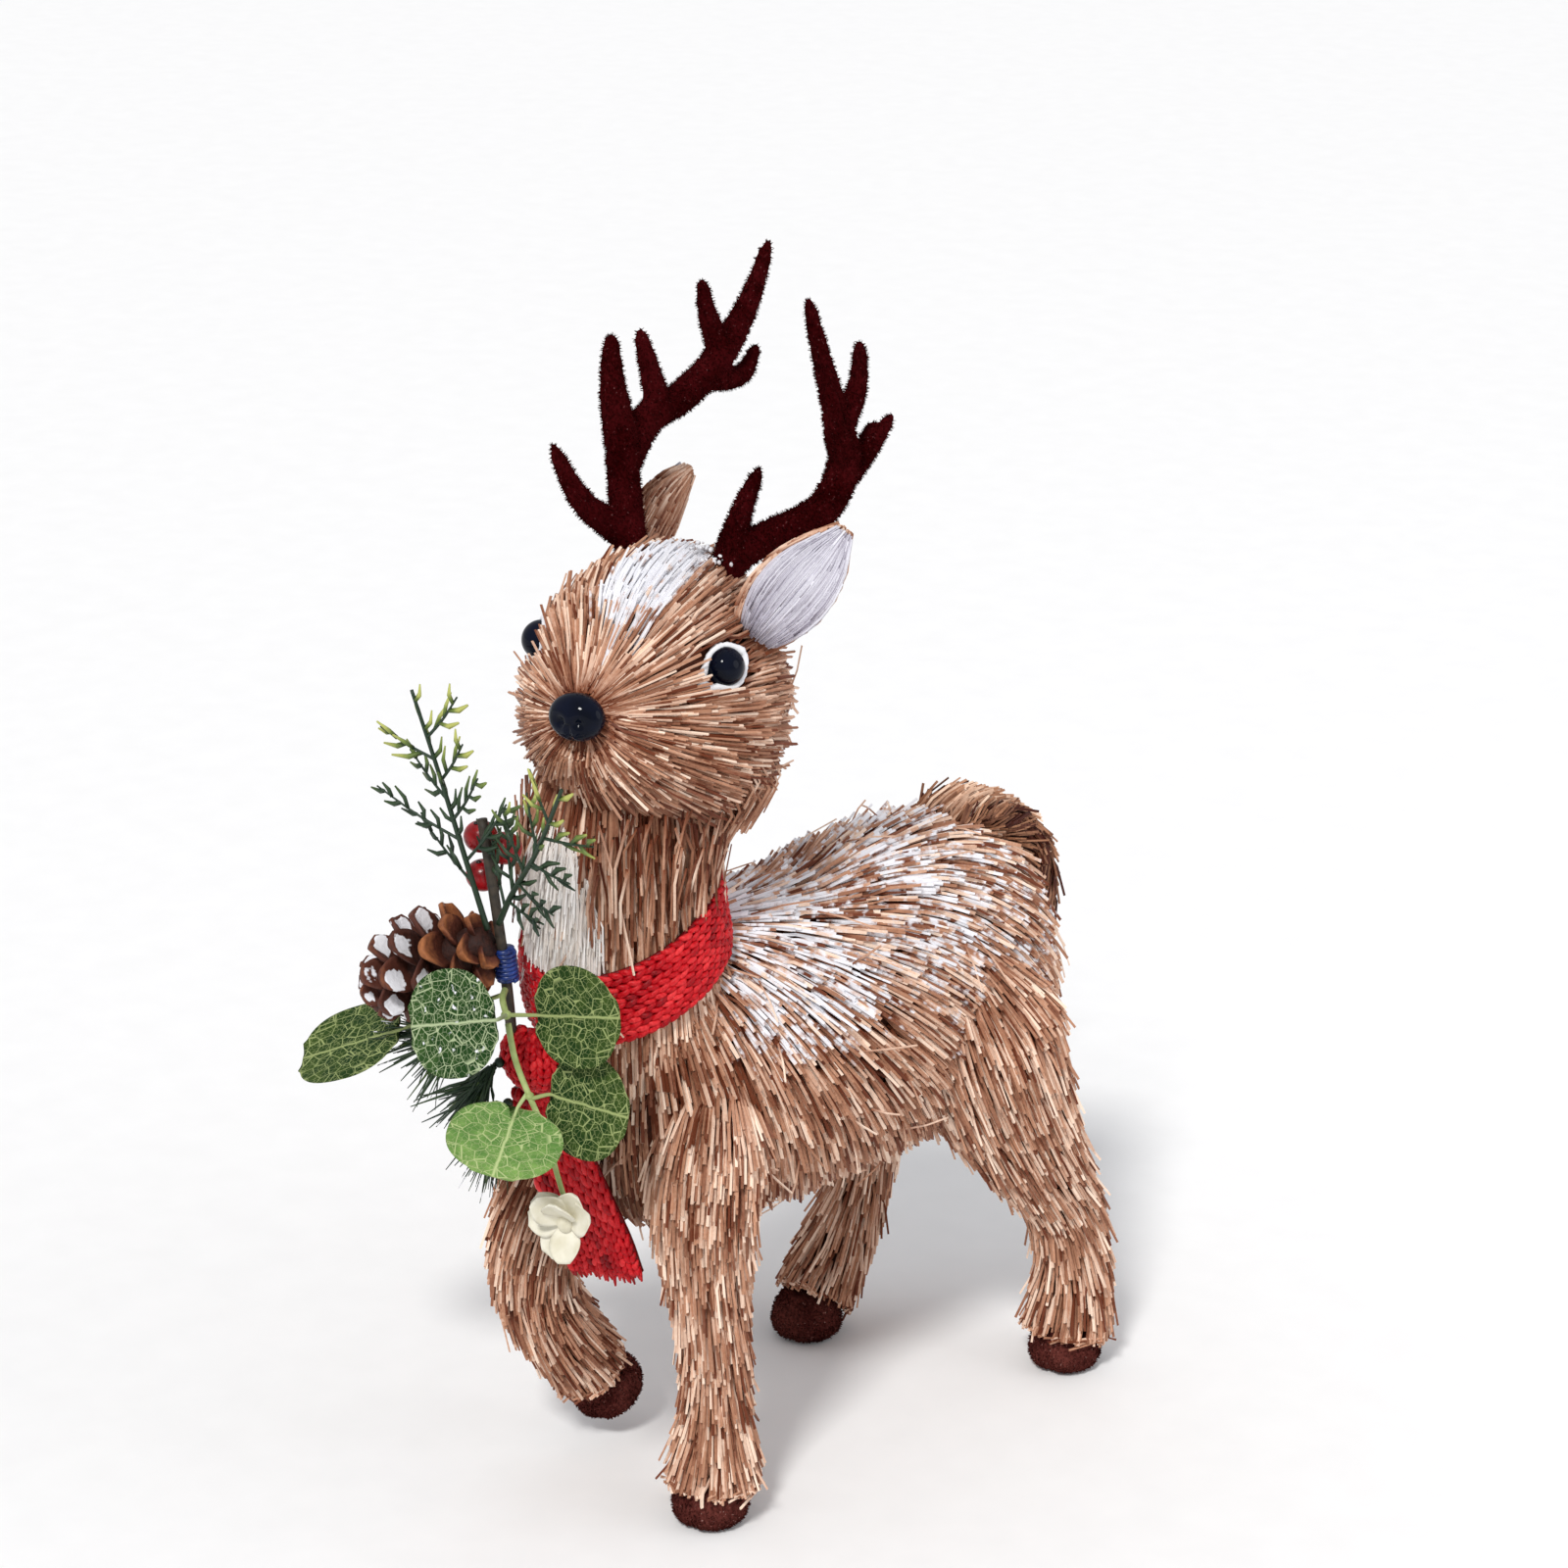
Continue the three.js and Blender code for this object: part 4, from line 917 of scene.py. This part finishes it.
def ear(name, base, tip, face, rim_side):
    base, tip = np.array(base, float), np.array(tip, float)
    forward = unit(tip - base)
    normal = unit(face - forward * dot(forward, np.array(face)))
    side = np.cross(forward, normal)
    length = np.linalg.norm(tip - base)

    def spot(s, t, height):
        s, t, height = (np.asarray(x, float)[..., None] for x in (s, t, height))
        half = ear_outline(t)
        return (base + forward * length * t + side * EAR_WIDTH / 2 * half * s
                + normal * (EAR_CUP * s**2 * half + height))

    # The back: bundled straws from the root to the tip.
    count = 620
    lane = random.uniform(-1, 1, count)
    start = random.uniform(-0.1, 0.7, count)
    along = start[:, None] + np.array([0, 0.5, 1]) * random.uniform(0.28, 0.42, count)[:, None]
    height = random.uniform(-2.6, 0.2, count)[:, None] - 0.6 * np.array([1, 0.6, 0])
    path = spot(lane[:, None] * [1, 1.02, 0.96], np.clip(along, -0.12, 1.0), height)
    wide = random.uniform(0.6, 1.0, count)[:, None]
    soup = Soup().add_strands(path, -normal, wide * [1, 1, 0.8], wide * 0.5,
                              tone=0.55 + random.normal(0, 0.22, count))
    # The edge: straws that flare out beside the lining.
    count = 260
    hand = np.sign(random.uniform(-1, rim_side, count))
    along = random.uniform(-0.05, 0.76, count)[:, None] + np.array([0, 0.11, 0.22])
    flare = 1.02 + 0.3 * (1 - np.clip(along, 0, 1)) ** 1.5 * random.random((count, 1))
    path = spot(hand[:, None] * random.uniform(0.86, 1.0, count)[:, None] * flare, along,
                random.uniform(-1.5, 2.2, count)[:, None] + 0 * along)
    wide = random.uniform(0.5, 0.8, count)[:, None]
    soup.add_strands(path, normal, wide, wide * 0.6, tone=0.6 + random.normal(0, 0.2, count))
    soup.piece(f"ear_straw_{name}", STRAW, f"ear_back_{name}", "straw", flat_shaded=True, strips=True)

    # The lining: a pale sheet under fine fibres that run from the root to the rim.
    lifted = normal * LINING_LIFT
    sheet, _ = blade_grid(base + forward * length * 0.04 + lifted, tip - forward * 2 + lifted,
                          face, EAR_WIDTH, ear_outline, EAR_CUP, 1.2)
    lining = Soup().add(sheet, tone=0.4, along=0.5)
    count = 300
    lane = random.uniform(-0.95, 1.02, count)
    along = random.uniform(0.0, 0.45, count)[:, None] + np.linspace(0, 0.57, 5)
    path = spot(lane[:, None] * np.linspace(0.9, 1, 5), np.minimum(along, 1.01),
                LINING_LIFT + random.uniform(0.3, 1.0, count)[:, None] + 0 * along)
    lining.add_strands(path, normal, 0.55, 0.4, tone=0.6 + random.normal(0, 0.22, count))
    lining.piece(f"ear_lining_cloth_{name}", LILAC, f"ear_lining_{name}", "ear_white")


for name, (base, tip, face) in EARS.items():
    ear(name, base, tip, face, 0 if name == "left" else 1)


# ---------- scarf ----------
SCARF_WIDTH, SLOPE, SCARF_AT = 29, math.radians(26), np.array([0, -110, 254.0])
slab = np.array([0, -math.sin(SLOPE), math.cos(SLOPE)])


def wrap_spot(angle, across, grow):
    """A point of the scarf's loop: angle round the neck and distance across its width."""
    t = np.linspace(0.0, 0.9, 60)
    shape = np.broadcast_shapes(np.shape(angle), np.shape(across), np.shape(grow))
    angle, across, grow = (np.broadcast_to(x, shape).ravel() for x in (angle, across, grow))
    line = neck.at(t[None], angle[:, None])
    away = ((line - SCARF_AT) * slab).sum(-1)
    found = np.array([np.interp(across[i], away[i], t) for i in range(len(angle))])
    return neck.at(found, angle, grow).reshape(*shape, 3)


def knit(soup, spot, rows, columns, radius, loop=False):
    """Adds rows of chain stitches: each is a V of two plump legs, laid along the band."""
    grids = np.meshgrid(np.arange(rows), np.arange(columns), indexing="ij")
    row, column = (grid.reshape(-1, 1) for grid in grids)
    k = np.linspace(0, 1, 5)
    u = (column + 0.5 * (row % 2) + 1.45 * k) / columns
    if not loop:
        u = np.clip(u, 0, 1)
    paths, ups = [], []
    for hand in (-1, 1):
        v = (row + 0.5 + hand * (0.44 - 0.38 * k)) / rows
        height = 1.3 * np.sin(np.pi * k) - 0.2 + random.normal(0, 0.12, len(row))[:, None]
        paths.append(spot(u, v, height))
        ups.append(unit(spot(u, v, 1.0) - spot(u, v, 0.0)))
    count = 2 * len(row)
    wide = radius * random.uniform(0.85, 1.12, count)[:, None] * [0.55, 1, 1.08, 1, 0.5]
    tone = 0.5 + random.normal(0, 0.17, count)
    return soup.add_strands(np.concatenate(paths), np.concatenate(ups), wide, wide * 0.8, 6, tone=tone)


def cloth_band(spot, rows, columns, thick):
    """The ground cloth of a band as a closed skin."""
    u = np.linspace(0, 1, columns + 1)[:, None]
    v = np.concatenate([np.linspace(0, 1, rows), np.linspace(1, 0, rows)])[None]
    height = np.concatenate([np.full(rows, 0.0), np.full(rows, -thick)])[None]
    return skin(spot(u + 0 * v, v + 0 * u, height + 0 * u))


def wrap(u, v, height):
    angle = -np.pi / 2 + 2 * np.pi * np.asarray(u)
    roll = 1.2 * np.sin(np.pi * np.asarray(v))
    return wrap_spot(angle, (np.asarray(v) - 0.5) * SCARF_WIDTH, 2.6 + roll + height)


# Painted shade: the ground cloth is toned dark to show as the shaded gaps between the stitches.
scarf = Soup().add(cloth_band(wrap, 8, 96, 1.4), tone=-0.1).piece(
    "scarf_cloth", YARN, "scarf_wrap", "scarf_red")
scarf_knit = knit(Soup(), wrap, 6, 58, 1.3, loop=True).piece(
    "scarf_stitches", YARN, (), "scarf_red", strips=True)

KNOT, KNOT_SIZE = np.array([-2, -159, 214.0]), np.array([17, 10, 14.0])


def knot(u, v, height):
    """The knot's face: u runs down it and v across it."""
    round_angle = np.pi * (1.0 + np.asarray(v))
    ridge = 1 + 0.06 * np.cos(3 * round_angle)
    out = sphere(np.pi * (0.1 + 0.8 * np.asarray(u)), round_angle)
    return KNOT + out * (KNOT_SIZE - 1.2) * ridge[..., None] + out * np.asarray(height)[..., None]


# Painted shade: the ball under the knot's stitches is toned darker, for the shaded gaps between them.
knit(Soup().add(ball(KNOT, KNOT_SIZE - 1.5), tone=0.2), knot, 7, 8, 1.4).piece(
    "scarf_knot_cloth", YARN, "scarf_knot", "scarf_red")

END_SPINE = np.array([(-1, -158, 200.5), (2, -154, 180), (6, -146, 154), (10, -138, 130), (12, -134, 114.0)])
END_HALF = np.array([[13.0], [16], [17.5], [18], [18]])
END_ACROSS = unit([0.92, 0.22, 0.32])


def hanging(u, v, height):
    u, v, height = np.broadcast_arrays(np.asarray(u, float), np.asarray(v, float), np.asarray(height, float))
    centre = spline(END_SPINE, u)
    ahead = unit(spline(END_SPINE, u + 1e-3) - spline(END_SPINE, u - 1e-3))
    side = unit(END_ACROSS - ahead * dot(ahead, END_ACROSS))
    front = np.cross(ahead, side)
    half = spline(END_HALF, u)
    ripple = 0.9 * np.sin(7 * v + 3 * u) * u
    return centre + side * half * (2 * v - 1)[..., None] + front * (height + 0.6 + ripple)[..., None]


# Painted shade: the ground cloth is toned dark to show as the shaded gaps between the stitches.
end_cloth = Soup().add(cloth_band(hanging, 10, 30, 1.6), tone=-0.1).piece(
    "scarf_end_cloth", YARN, "scarf_end", "scarf_red", END)
end_soup = knit(Soup(), hanging, 7, 18, 1.35)
lanes = 26
v = np.linspace(0.02, 0.98, lanes)
inside, hem = hanging(0.97, v, 0.3), hanging(1.0, v, 0.4)
drop = unit(hem - inside) + random.normal(0, 0.16, (lanes, 3))
fringe = np.stack([inside, hem, hem + drop * random.uniform(2.5, 5, (lanes, 1))], 1)
end_soup.add_strands(fringe, [0, -1, 0.2], [1.2, 1.2, 0.5], [1.0, 1.0, 0.4], 6,
                     tone=0.5 + random.normal(0, 0.15, lanes))
end_knit = end_soup.piece("scarf_end_stitches", YARN, (), "scarf_red", END, strips=True)


# ---------- spray ----------
ASKEW = [0.13, 0.97, 0.2]  # a direction that no twig or needle lies along


def twig(points, start, end, sides=10):
    t = np.linspace(0, 1, 6 * len(points))
    radius = start + (end - start) * t
    return strands(spline(points, t)[None], ASKEW, radius, radius, sides)


MAIN_STEM = [(-8, -166, 226), (-9, -167, 246), (-10, -170, 275), (-16, -172, 318)]
Soup().add(twig(MAIN_STEM, 2.3, 2.1, 14)).piece("stem_bark", STEM, "spray_stem", "stem_brown")
TAPE_TURNS, TAPE_RADIUS = 7, 4.4
turns = np.linspace(0, 1, 90)
wind = 2 * np.pi * TAPE_TURNS * turns
tape_line = np.array([-8.8, -166.8, 249.5]) + turns[:, None] * [-0.6, -1.0, 13]
tape_line = tape_line + np.stack([TAPE_RADIUS * np.cos(wind), TAPE_RADIUS * np.sin(wind), 0 * wind], 1)
Soup().add(twig([(-8.8, -166.8, 249), (-9.4, -167.8, 263)], 4.3, 4.3, 16)).add(
    strands(tape_line[None], [0, 0, 1], 0.7, 1.05, 6)).piece("stem_tape", TAPE, "binding_tape", "tape_blue")

CONE_BASE, CONE_TIP, CONE_REACH = np.array([-10, -175, 268.0]), np.array([-58, -203, 238.0]), 25.5
CONE_SCALES, SCALE_WIDTH, GOLDEN_ANGLE = 44, 16.5, math.radians(137.5)


def scale_outline(t):
    return 0.25 + 0.75 * np.sin(np.pi * np.clip(0.06 + 0.78 * t, 0, 1)) ** 1.2


def pine_cone():
    """Woody scales in a spiral: tight at the foot, wide open in the middle, closing at the tip."""
    length = np.linalg.norm(CONE_TIP - CONE_BASE)
    forward = unit(CONE_TIP - CONE_BASE)
    side = unit(np.cross(forward, [0, 0, 1]))
    other = np.cross(forward, side)
    soup = Soup().add(Form([(*(CONE_BASE + forward * length * t), radius) for t, radius in (
        (0.0, 6), (0.25, 10), (0.6, 9), (0.9, 5), (1.0, 2))], (0, 0, 1)).grid(16, 20), tone=0.1)
    for i in range(CONE_SCALES):
        part = i / (CONE_SCALES - 1)
        out = side * math.cos(i * GOLDEN_ANGLE) + other * math.sin(i * GOLDEN_ANGLE)
        bulge = math.sin(math.pi * (0.17 + 0.74 * part))
        open_up = math.radians(-6 + 30 * part + 42 * part**4)
        way = out * math.cos(open_up) + forward * math.sin(open_up)
        face = out * math.sin(open_up) * 0.9 - forward * math.cos(open_up)
        root = CONE_BASE + forward * length * (0.04 + 0.86 * part) + out * 2
        reach = CONE_REACH * bulge * (0.97 if part > 0.25 else 0.78 + 0.76 * part)
        scale, flat = blade_grid(root, root + way * (reach - 2), face,
                                 SCALE_WIDTH * (0.45 + 0.55 * bulge), scale_outline, 3.4, 2.8, 9, 11)
        along = (flat[:, 1] + 1) / 2
        tone = 0.05 + (0.8 if part < 0.3 else 0.42) * along + random.normal(0, 0.06)
        snowy = (part > 0.3) * random.choice([0.55, 0.9, 1.1, 1.3])
        middle = 1 - smooth(np.abs(flat[:, 0] + random.normal(0, 0.15)), 0.3, 0.75)
        near_tip = smooth(along, 0.42, 0.7) * (1 - smooth(along, 0.9, 1.0))
        soup.add(scale, tone=tone, frost=snowy * near_tip * middle)
    return soup.piece("cone_scales", CONE, "pine_cone", "pine_cone")


pine_cone()


def cypress(name, points, nodes, twigs, reach):
    """A sprig: twigs on both sides of a stem, and short needles all along both, paler at the top."""
    soup = Soup()
    lines = [(spline(points, np.linspace(0, 1, 40)), 1.4, 0.8, 6.0, 0.3)]
    for i in range(twigs):
        t = 0.18 + 0.72 * i / twigs
        root = spline(points, t)
        ahead = unit(spline(points, t + 0.01) - root)
        side = unit(np.cross(ahead, [0, 1, 0])) * (-1 if i % 2 else 1)
        long = reach * (1 - 0.6 * t) * random.uniform(0.85, 1.1)
        way = ahead * 0.6 + side * 0.85 + np.array([0, random.uniform(-0.3, 0.3), 0])
        bent = [root, root + way * long * 0.5, root + way * long + ahead * 0.075 * long]
        lines.append((spline(bent, np.linspace(0, 1, 14)), 0.75, 0.4, 4.0, 0.2))
    low, high = min(p[2] for p in points), max(p[2] for p in points)
    for line, thick, thin, spacing, bare_part in lines:
        radius = np.linspace(thick, thin, len(line))
        soup.add_strands(line[None], ASKEW, radius, radius, 6, tone=0.15)
        ahead = unit(np.gradient(line, axis=0))
        total = np.linalg.norm(np.diff(line, axis=0), axis=1).sum()
        for k in range(int(total / spacing)):
            s = (k + 0.6) / (total / spacing)
            if s < bare_part:
                continue
            at = spline(line, s)
            way = unit(ahead[min(int(s * len(line)), len(line) - 1)])
            out = unit(np.cross(way, [0.1, 1, 0.15])) * (1 if k % 2 else -1)
            out = unit(out + np.array([0, random.uniform(-0.9, 0.9), 0]))
            long = random.uniform(9.0, 13.5) * (1 - 0.35 * s)
            path = np.array([at, at + (way * 0.6 + out * 0.75) * long * 0.5,
                             at + (way * 0.85 + out * 0.6) * long])
            shine = smooth((at[2] - low) / (high - low), 0.35, 0.95) + random.normal(0, 0.06)
            tone = np.array([0.12, 0.2, 0.26]) + shine * np.array([0.4, 0.8, 1.1])
            soup.add_strands(path[None], ASKEW, [1.0, 1.25, 0.5], [0.85, 0.95, 0.4], 4, tone=tone[None])
    soup.piece(name, NEEDLE, nodes, "needles", strips=True)


cypress("cypress_needles_tall", [(-12, -174, 272), (-21, -179, 307), (-28, -184, 338), (-36, -190, 372)],
        "cypress_tall", 8, 44)
cypress("cypress_needles_short", [(-6, -173, 276), (4, -174, 292), (26, -179, 318), (47, -184, 350)],
        "cypress_short", 9, 38)


def crown_dimple(p):
    return 1 - 0.12 * np.exp(-((1 - p[..., 2]) / 0.05))


BERRIES = [(-28, -163, 305), (-13, -163, 304), (-26, -164, 289)]
for number, centre in enumerate(BERRIES, 1):
    soup = Soup().add(ball(centre, [7.1, 7.1, 6.7], dent=crown_dimple), along=0.0)
    soup.add(ball(np.array(centre) + [0, -2.0, 6.2], [1.3, 1.3, 0.8], rows=8, columns=12), along=1.0)
    soup.add(twig([centre, (-11.5, -169.5, 284)], 0.7, 0.7, 8), along=1.0)
    soup.piece(f"berry_skin_{number}", BERRY, f"berry_{number}", "berry")

TUFTS = [((-26, -176, 226), (-61, -188, 198), 1.1), ((-12, -172, 212), (-30, -184, 178), 1.0),
         ((-6, -173, 196), (-8, -186, 160), 0.9)]
for number, (root, tip, spread) in enumerate(TUFTS, 1):
    root, tip = np.array(root, float), np.array(tip, float)
    main = tip - root
    side = unit(np.cross(main, [0, 1, 0]))
    count = 70
    turn_by = spread * random.uniform(-0.55, 0.55, count)[:, None]
    long = random.uniform(0.55, 1.02, count)[:, None]
    end = root + (main * np.cos(turn_by) + side * np.linalg.norm(main) * np.sin(turn_by)) * long
    end = end + np.array([0, 1, 0]) * random.uniform(-9, 5, (count, 1))
    start = root + main * random.uniform(0, 0.3, (count, 1)) + random.normal(0, 0.8, (count, 3))
    middle = (start + end) / 2 + random.normal(0, 1.0, (count, 3))
    tone = 0.25 + random.normal(0, 0.13, count)
    white = 0.6 * (random.random(count) < 0.35)
    Soup().add_strands(np.stack([start, middle, end], 1), [0.1, 1, 0.1], [0.7, 0.65, 0.2],
                       [0.55, 0.5, 0.15], 4, tone=tone,
                       frost=np.stack([0 * white, 0 * white, white], 1)).add(
        ball(root + [0, 2.5, 0], [2.2, 2.2, 2.2], rows=10, columns=12), tone=0.1).piece(
        f"pine_needles_{number}", NEEDLE, f"needle_tuft_{number}", "needles")


def round_leaf(t):
    """A broad round leaf, a little squared, with a shallow notch at its stalk."""
    t = np.clip(t, 0, 1)
    return np.maximum(0.1, (1 - np.abs(2 * t - 1) ** 2.3)) ** (1 / 2.3)


def leaf(name, node, look, slot, foot, base, tip, face, width, body=BODY, notch=0.08):
    """A cupped, wavy leaf from base to tip, and its stalk from the foot."""
    base, tip = np.array(base, float), np.array(tip, float)
    plate, flat = blade_grid(base, tip, face, width, round_leaf, 2.2, 0.9, 25, 29, 0.9, notch)
    soup = Soup().add(plate, leaf=flat)
    soup.add(twig([foot, base, base + (tip - base) * 0.14], 0.95, 0.6, 8), leaf=[[0.0, 0.0, 0.0]])
    return soup.piece(name, look, node, slot, body)


NODE = np.array([8, -182, 243.0])
leaf("leaf_cloth_front", "leaf_front", SNOWY_LEAF, "leaf_green",
     NODE, (20, -197, 249), (-13, -214, 241), (0.2, -0.95, 0.25), 44)
leaf("leaf_cloth_side", "leaf_side", LEAF, "leaf_green",
     NODE, (22, -178, 246), (63, -170, 255), (0.25, -0.95, 0.15), 42)
leaf("leaf_cloth_back", "leaf_back", LEAF, "leaf_green",
     (-9, -168, 243), (-52, -189, 220), (-113, -193, 189), (0, -0.75, 0.65), 34)
Soup().add(twig([(-9, -168, 245), (0, -177, 246), NODE], 1.4, 1.3)).add(
    ball(NODE, [2.2, 2.2, 1.9], rows=12, columns=16)).piece(
    "stem_upper", PALE_STEM, "eucalyptus_stem", "stem_green")

HANGING_STEM = [(9, -182, 239.5), (13, -182, 225), (20, -181, 211), (29, -180, 196),
                (34, -179, 180), (38, -178, 168)]
Soup().add(twig(HANGING_STEM, 1.35, 1.1)).add(
    ball((20, -181, 211), [2.0, 2.0, 1.7], rows=12, columns=16)).piece(
    "stem_hanging", PALE_STEM, "sprig_stem", "stem_green", TIP)
leaf("leaf_cloth_hanging_side", "sprig_leaf_side", LEAF, "leaf_green",
     (21, -181, 210), (28, -177, 213), (65, -168, 212), (0.3, -0.93, 0.2), 44, TIP)
leaf("leaf_cloth_hanging_front", "sprig_leaf_front", PALE_LEAF, "leaf_pale",
     (19, -181, 212), (20, -187, 208), (27, -207, 186), (0.35, -0.6, 0.72), 50, TIP, notch=0.2)


def petal_outline(t):
    t = np.clip(t, 0, 1)
    return np.maximum(0.16, np.sin(np.pi * (0.1 + 0.8 * t)) ** 0.8)


PETALS = [(28, -181, 163), (47, -177, 169), (37, -183, 167), (38, -180, 151)]
HEART = np.array([38, -177, 160.0])
PETAL_LENGTH = PETAL_WIDTH = 14.5
blossom = Soup().add(ball((38, -179, 160), [4, 3, 4], rows=12, columns=16))
for middle in PETALS:
    way = unit(middle - HEART)
    for fan in (-0.42, 0.42):
        swing = unit(way + fan * unit(np.cross(way, [0, 1, 0])))
        root = HEART + way * 2
        petal, _ = blade_grid(root, root + swing * PETAL_LENGTH + np.array([0, -2 - fan, 0]),
                              (0.35, -0.9, 0.25), PETAL_WIDTH, petal_outline, 1.6, 0.9, 11, 13, 0.4)
        blossom.add(petal)
blossom.piece("blossom_petals", CREAM, "blossom", "blossom_cream", TIP)

# ---------- stray straws and crumbs of snow ----------
FACE_RADIUS = 45  # no stray straw starts nearer than this to an eye or to the nose
strays = Soup()
for form, flow, count in ((torso, torso_flow, 110), (head, head_flow, 24), (neck, down, 16)):
    t, angle = form.scatter(count, 0.08, 0.92)
    if form is head:
        foot = form.at(t, angle)
        away = np.min([np.linalg.norm(foot - centre, axis=1) for centre, _ in bare], 0)
        t, angle = t[away > FACE_RADIUS], angle[away > FACE_RADIUS]
    count = len(t)
    foot, out = form.at(t, angle), form.normal(t, angle)
    way = flow(foot)
    way = unit(way - out * dot(way, out))
    way = way + np.cross(out, way) * random.normal(0, 0.7, (count, 1))
    way = unit(way + out * random.uniform(0.02, 0.16, (count, 1)))
    long = random.uniform(14, 32, (count, 1))
    path = np.stack([foot - out, foot + out * 1.2 + way * long / 2, foot + out * 1.4 + way * long], 1)
    strays.add_strands(path, out[:, None], 0.55, 0.4, tone=0.75 + random.normal(0, 0.15, count))
strays.piece("stray_straws", STRAW, (), "straw", flat_shaded=True, strips=True)

# Left, front and up in the head, the reach of the patch and the number of crumbs.
CRUMBS = [(4, -14, 57, 15, 50), (20, -15, 54, 9, 70)]
crumbs = Soup()
for *middle, reach, count in CRUMBS:
    for _ in range(count):
        at = np.array(middle) + random.normal(0, reach / 2.2, 3) * [1, 0.8, 0.12]
        size = random.uniform(0.45, 1.1)
        crumbs.add(ball(head_point(*at), size * random.uniform(0.7, 1.2, 3), rows=6, columns=8,
                        dent=lambda p: 1 + 0.25 * np.sin(9 * p[..., 0] + size * 7) * np.cos(8 * p[..., 1])))
crumbs.piece("snow_crumbs", SNOW_CRUMB, (), "white_fibre")

# ---------- the CAD nodes that stay, inside the coats ----------
inner_looks = {"torso_foam": FOAM, "head_foam": FOAM, "neck_dowel": WOOD}
inner_looks.update({f"leg_wire_{name}": WIRE for name in LEGS})
for name, look in inner_looks.items():
    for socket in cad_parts[name].material_slots:
        socket.material = look

# ---------- studio ----------
scene = bpy.context.scene
scene.view_settings.view_transform = "Standard"
FAR = 30  # metres to each edge of the floor
floor_mesh = bpy.data.meshes.new("floor")
floor_mesh.from_pydata([(-FAR, -FAR, 0), (FAR, -FAR, 0), (FAR, FAR, 0), (-FAR, FAR, 0)], [], [(0, 1, 2, 3)])
floor_mesh.materials.append(FLOOR)
floor = linked("floor", floor_mesh)

# The sky lights the object less than it shows behind it.
SKY_LIGHT, SKY_SEEN = 0.64, 1.0
world = bpy.data.worlds.new("studio")
world.use_nodes = True
sky = world.node_tree.nodes["Background"].inputs
sky["Color"].default_value = (0.96, 0.97, 1.0, 1)
camera_sees = world.node_tree.nodes.new("ShaderNodeLightPath").outputs["Is Camera Ray"]
strength = world.node_tree.nodes.new("ShaderNodeMapRange")
strength.inputs["To Min"].default_value, strength.inputs["To Max"].default_value = SKY_LIGHT, SKY_SEEN
world.node_tree.links.new(camera_sees, strength.inputs["Value"])
world.node_tree.links.new(strength.outputs[0], sky["Strength"])
scene.world = world


def aimed(name, data, location, at):
    thing = linked(name, data)
    thing.location = location
    thing.rotation_mode = "QUATERNION"
    thing.rotation_quaternion = (Vector(at) - thing.location).to_track_quat("-Z", "Y")
    return thing


def light(name, kind, location, power, colour, **settings):
    data = bpy.data.lights.new(name, kind)
    data.energy, data.color = power, colour
    for key, value in settings.items():
        setattr(data, key, value)
    aimed(name, data, location, (0, 0, 0.25))


light("key", "SUN", (0.7, -1.3, 1.9), 2.05, (1, 0.985, 0.96), angle=math.radians(10))
light("fill", "AREA", (1.6, 0.9, 0.9), 5, (0.97, 0.98, 1), shape="DISK", size=1.2)

camera_data = bpy.data.cameras.new("camera")
camera_data.lens, camera_data.sensor_width = 97.8, 36
scene.camera = aimed("camera", camera_data, place((1219.7, -1197.0, 915.6)), place((3, -22, 300)))
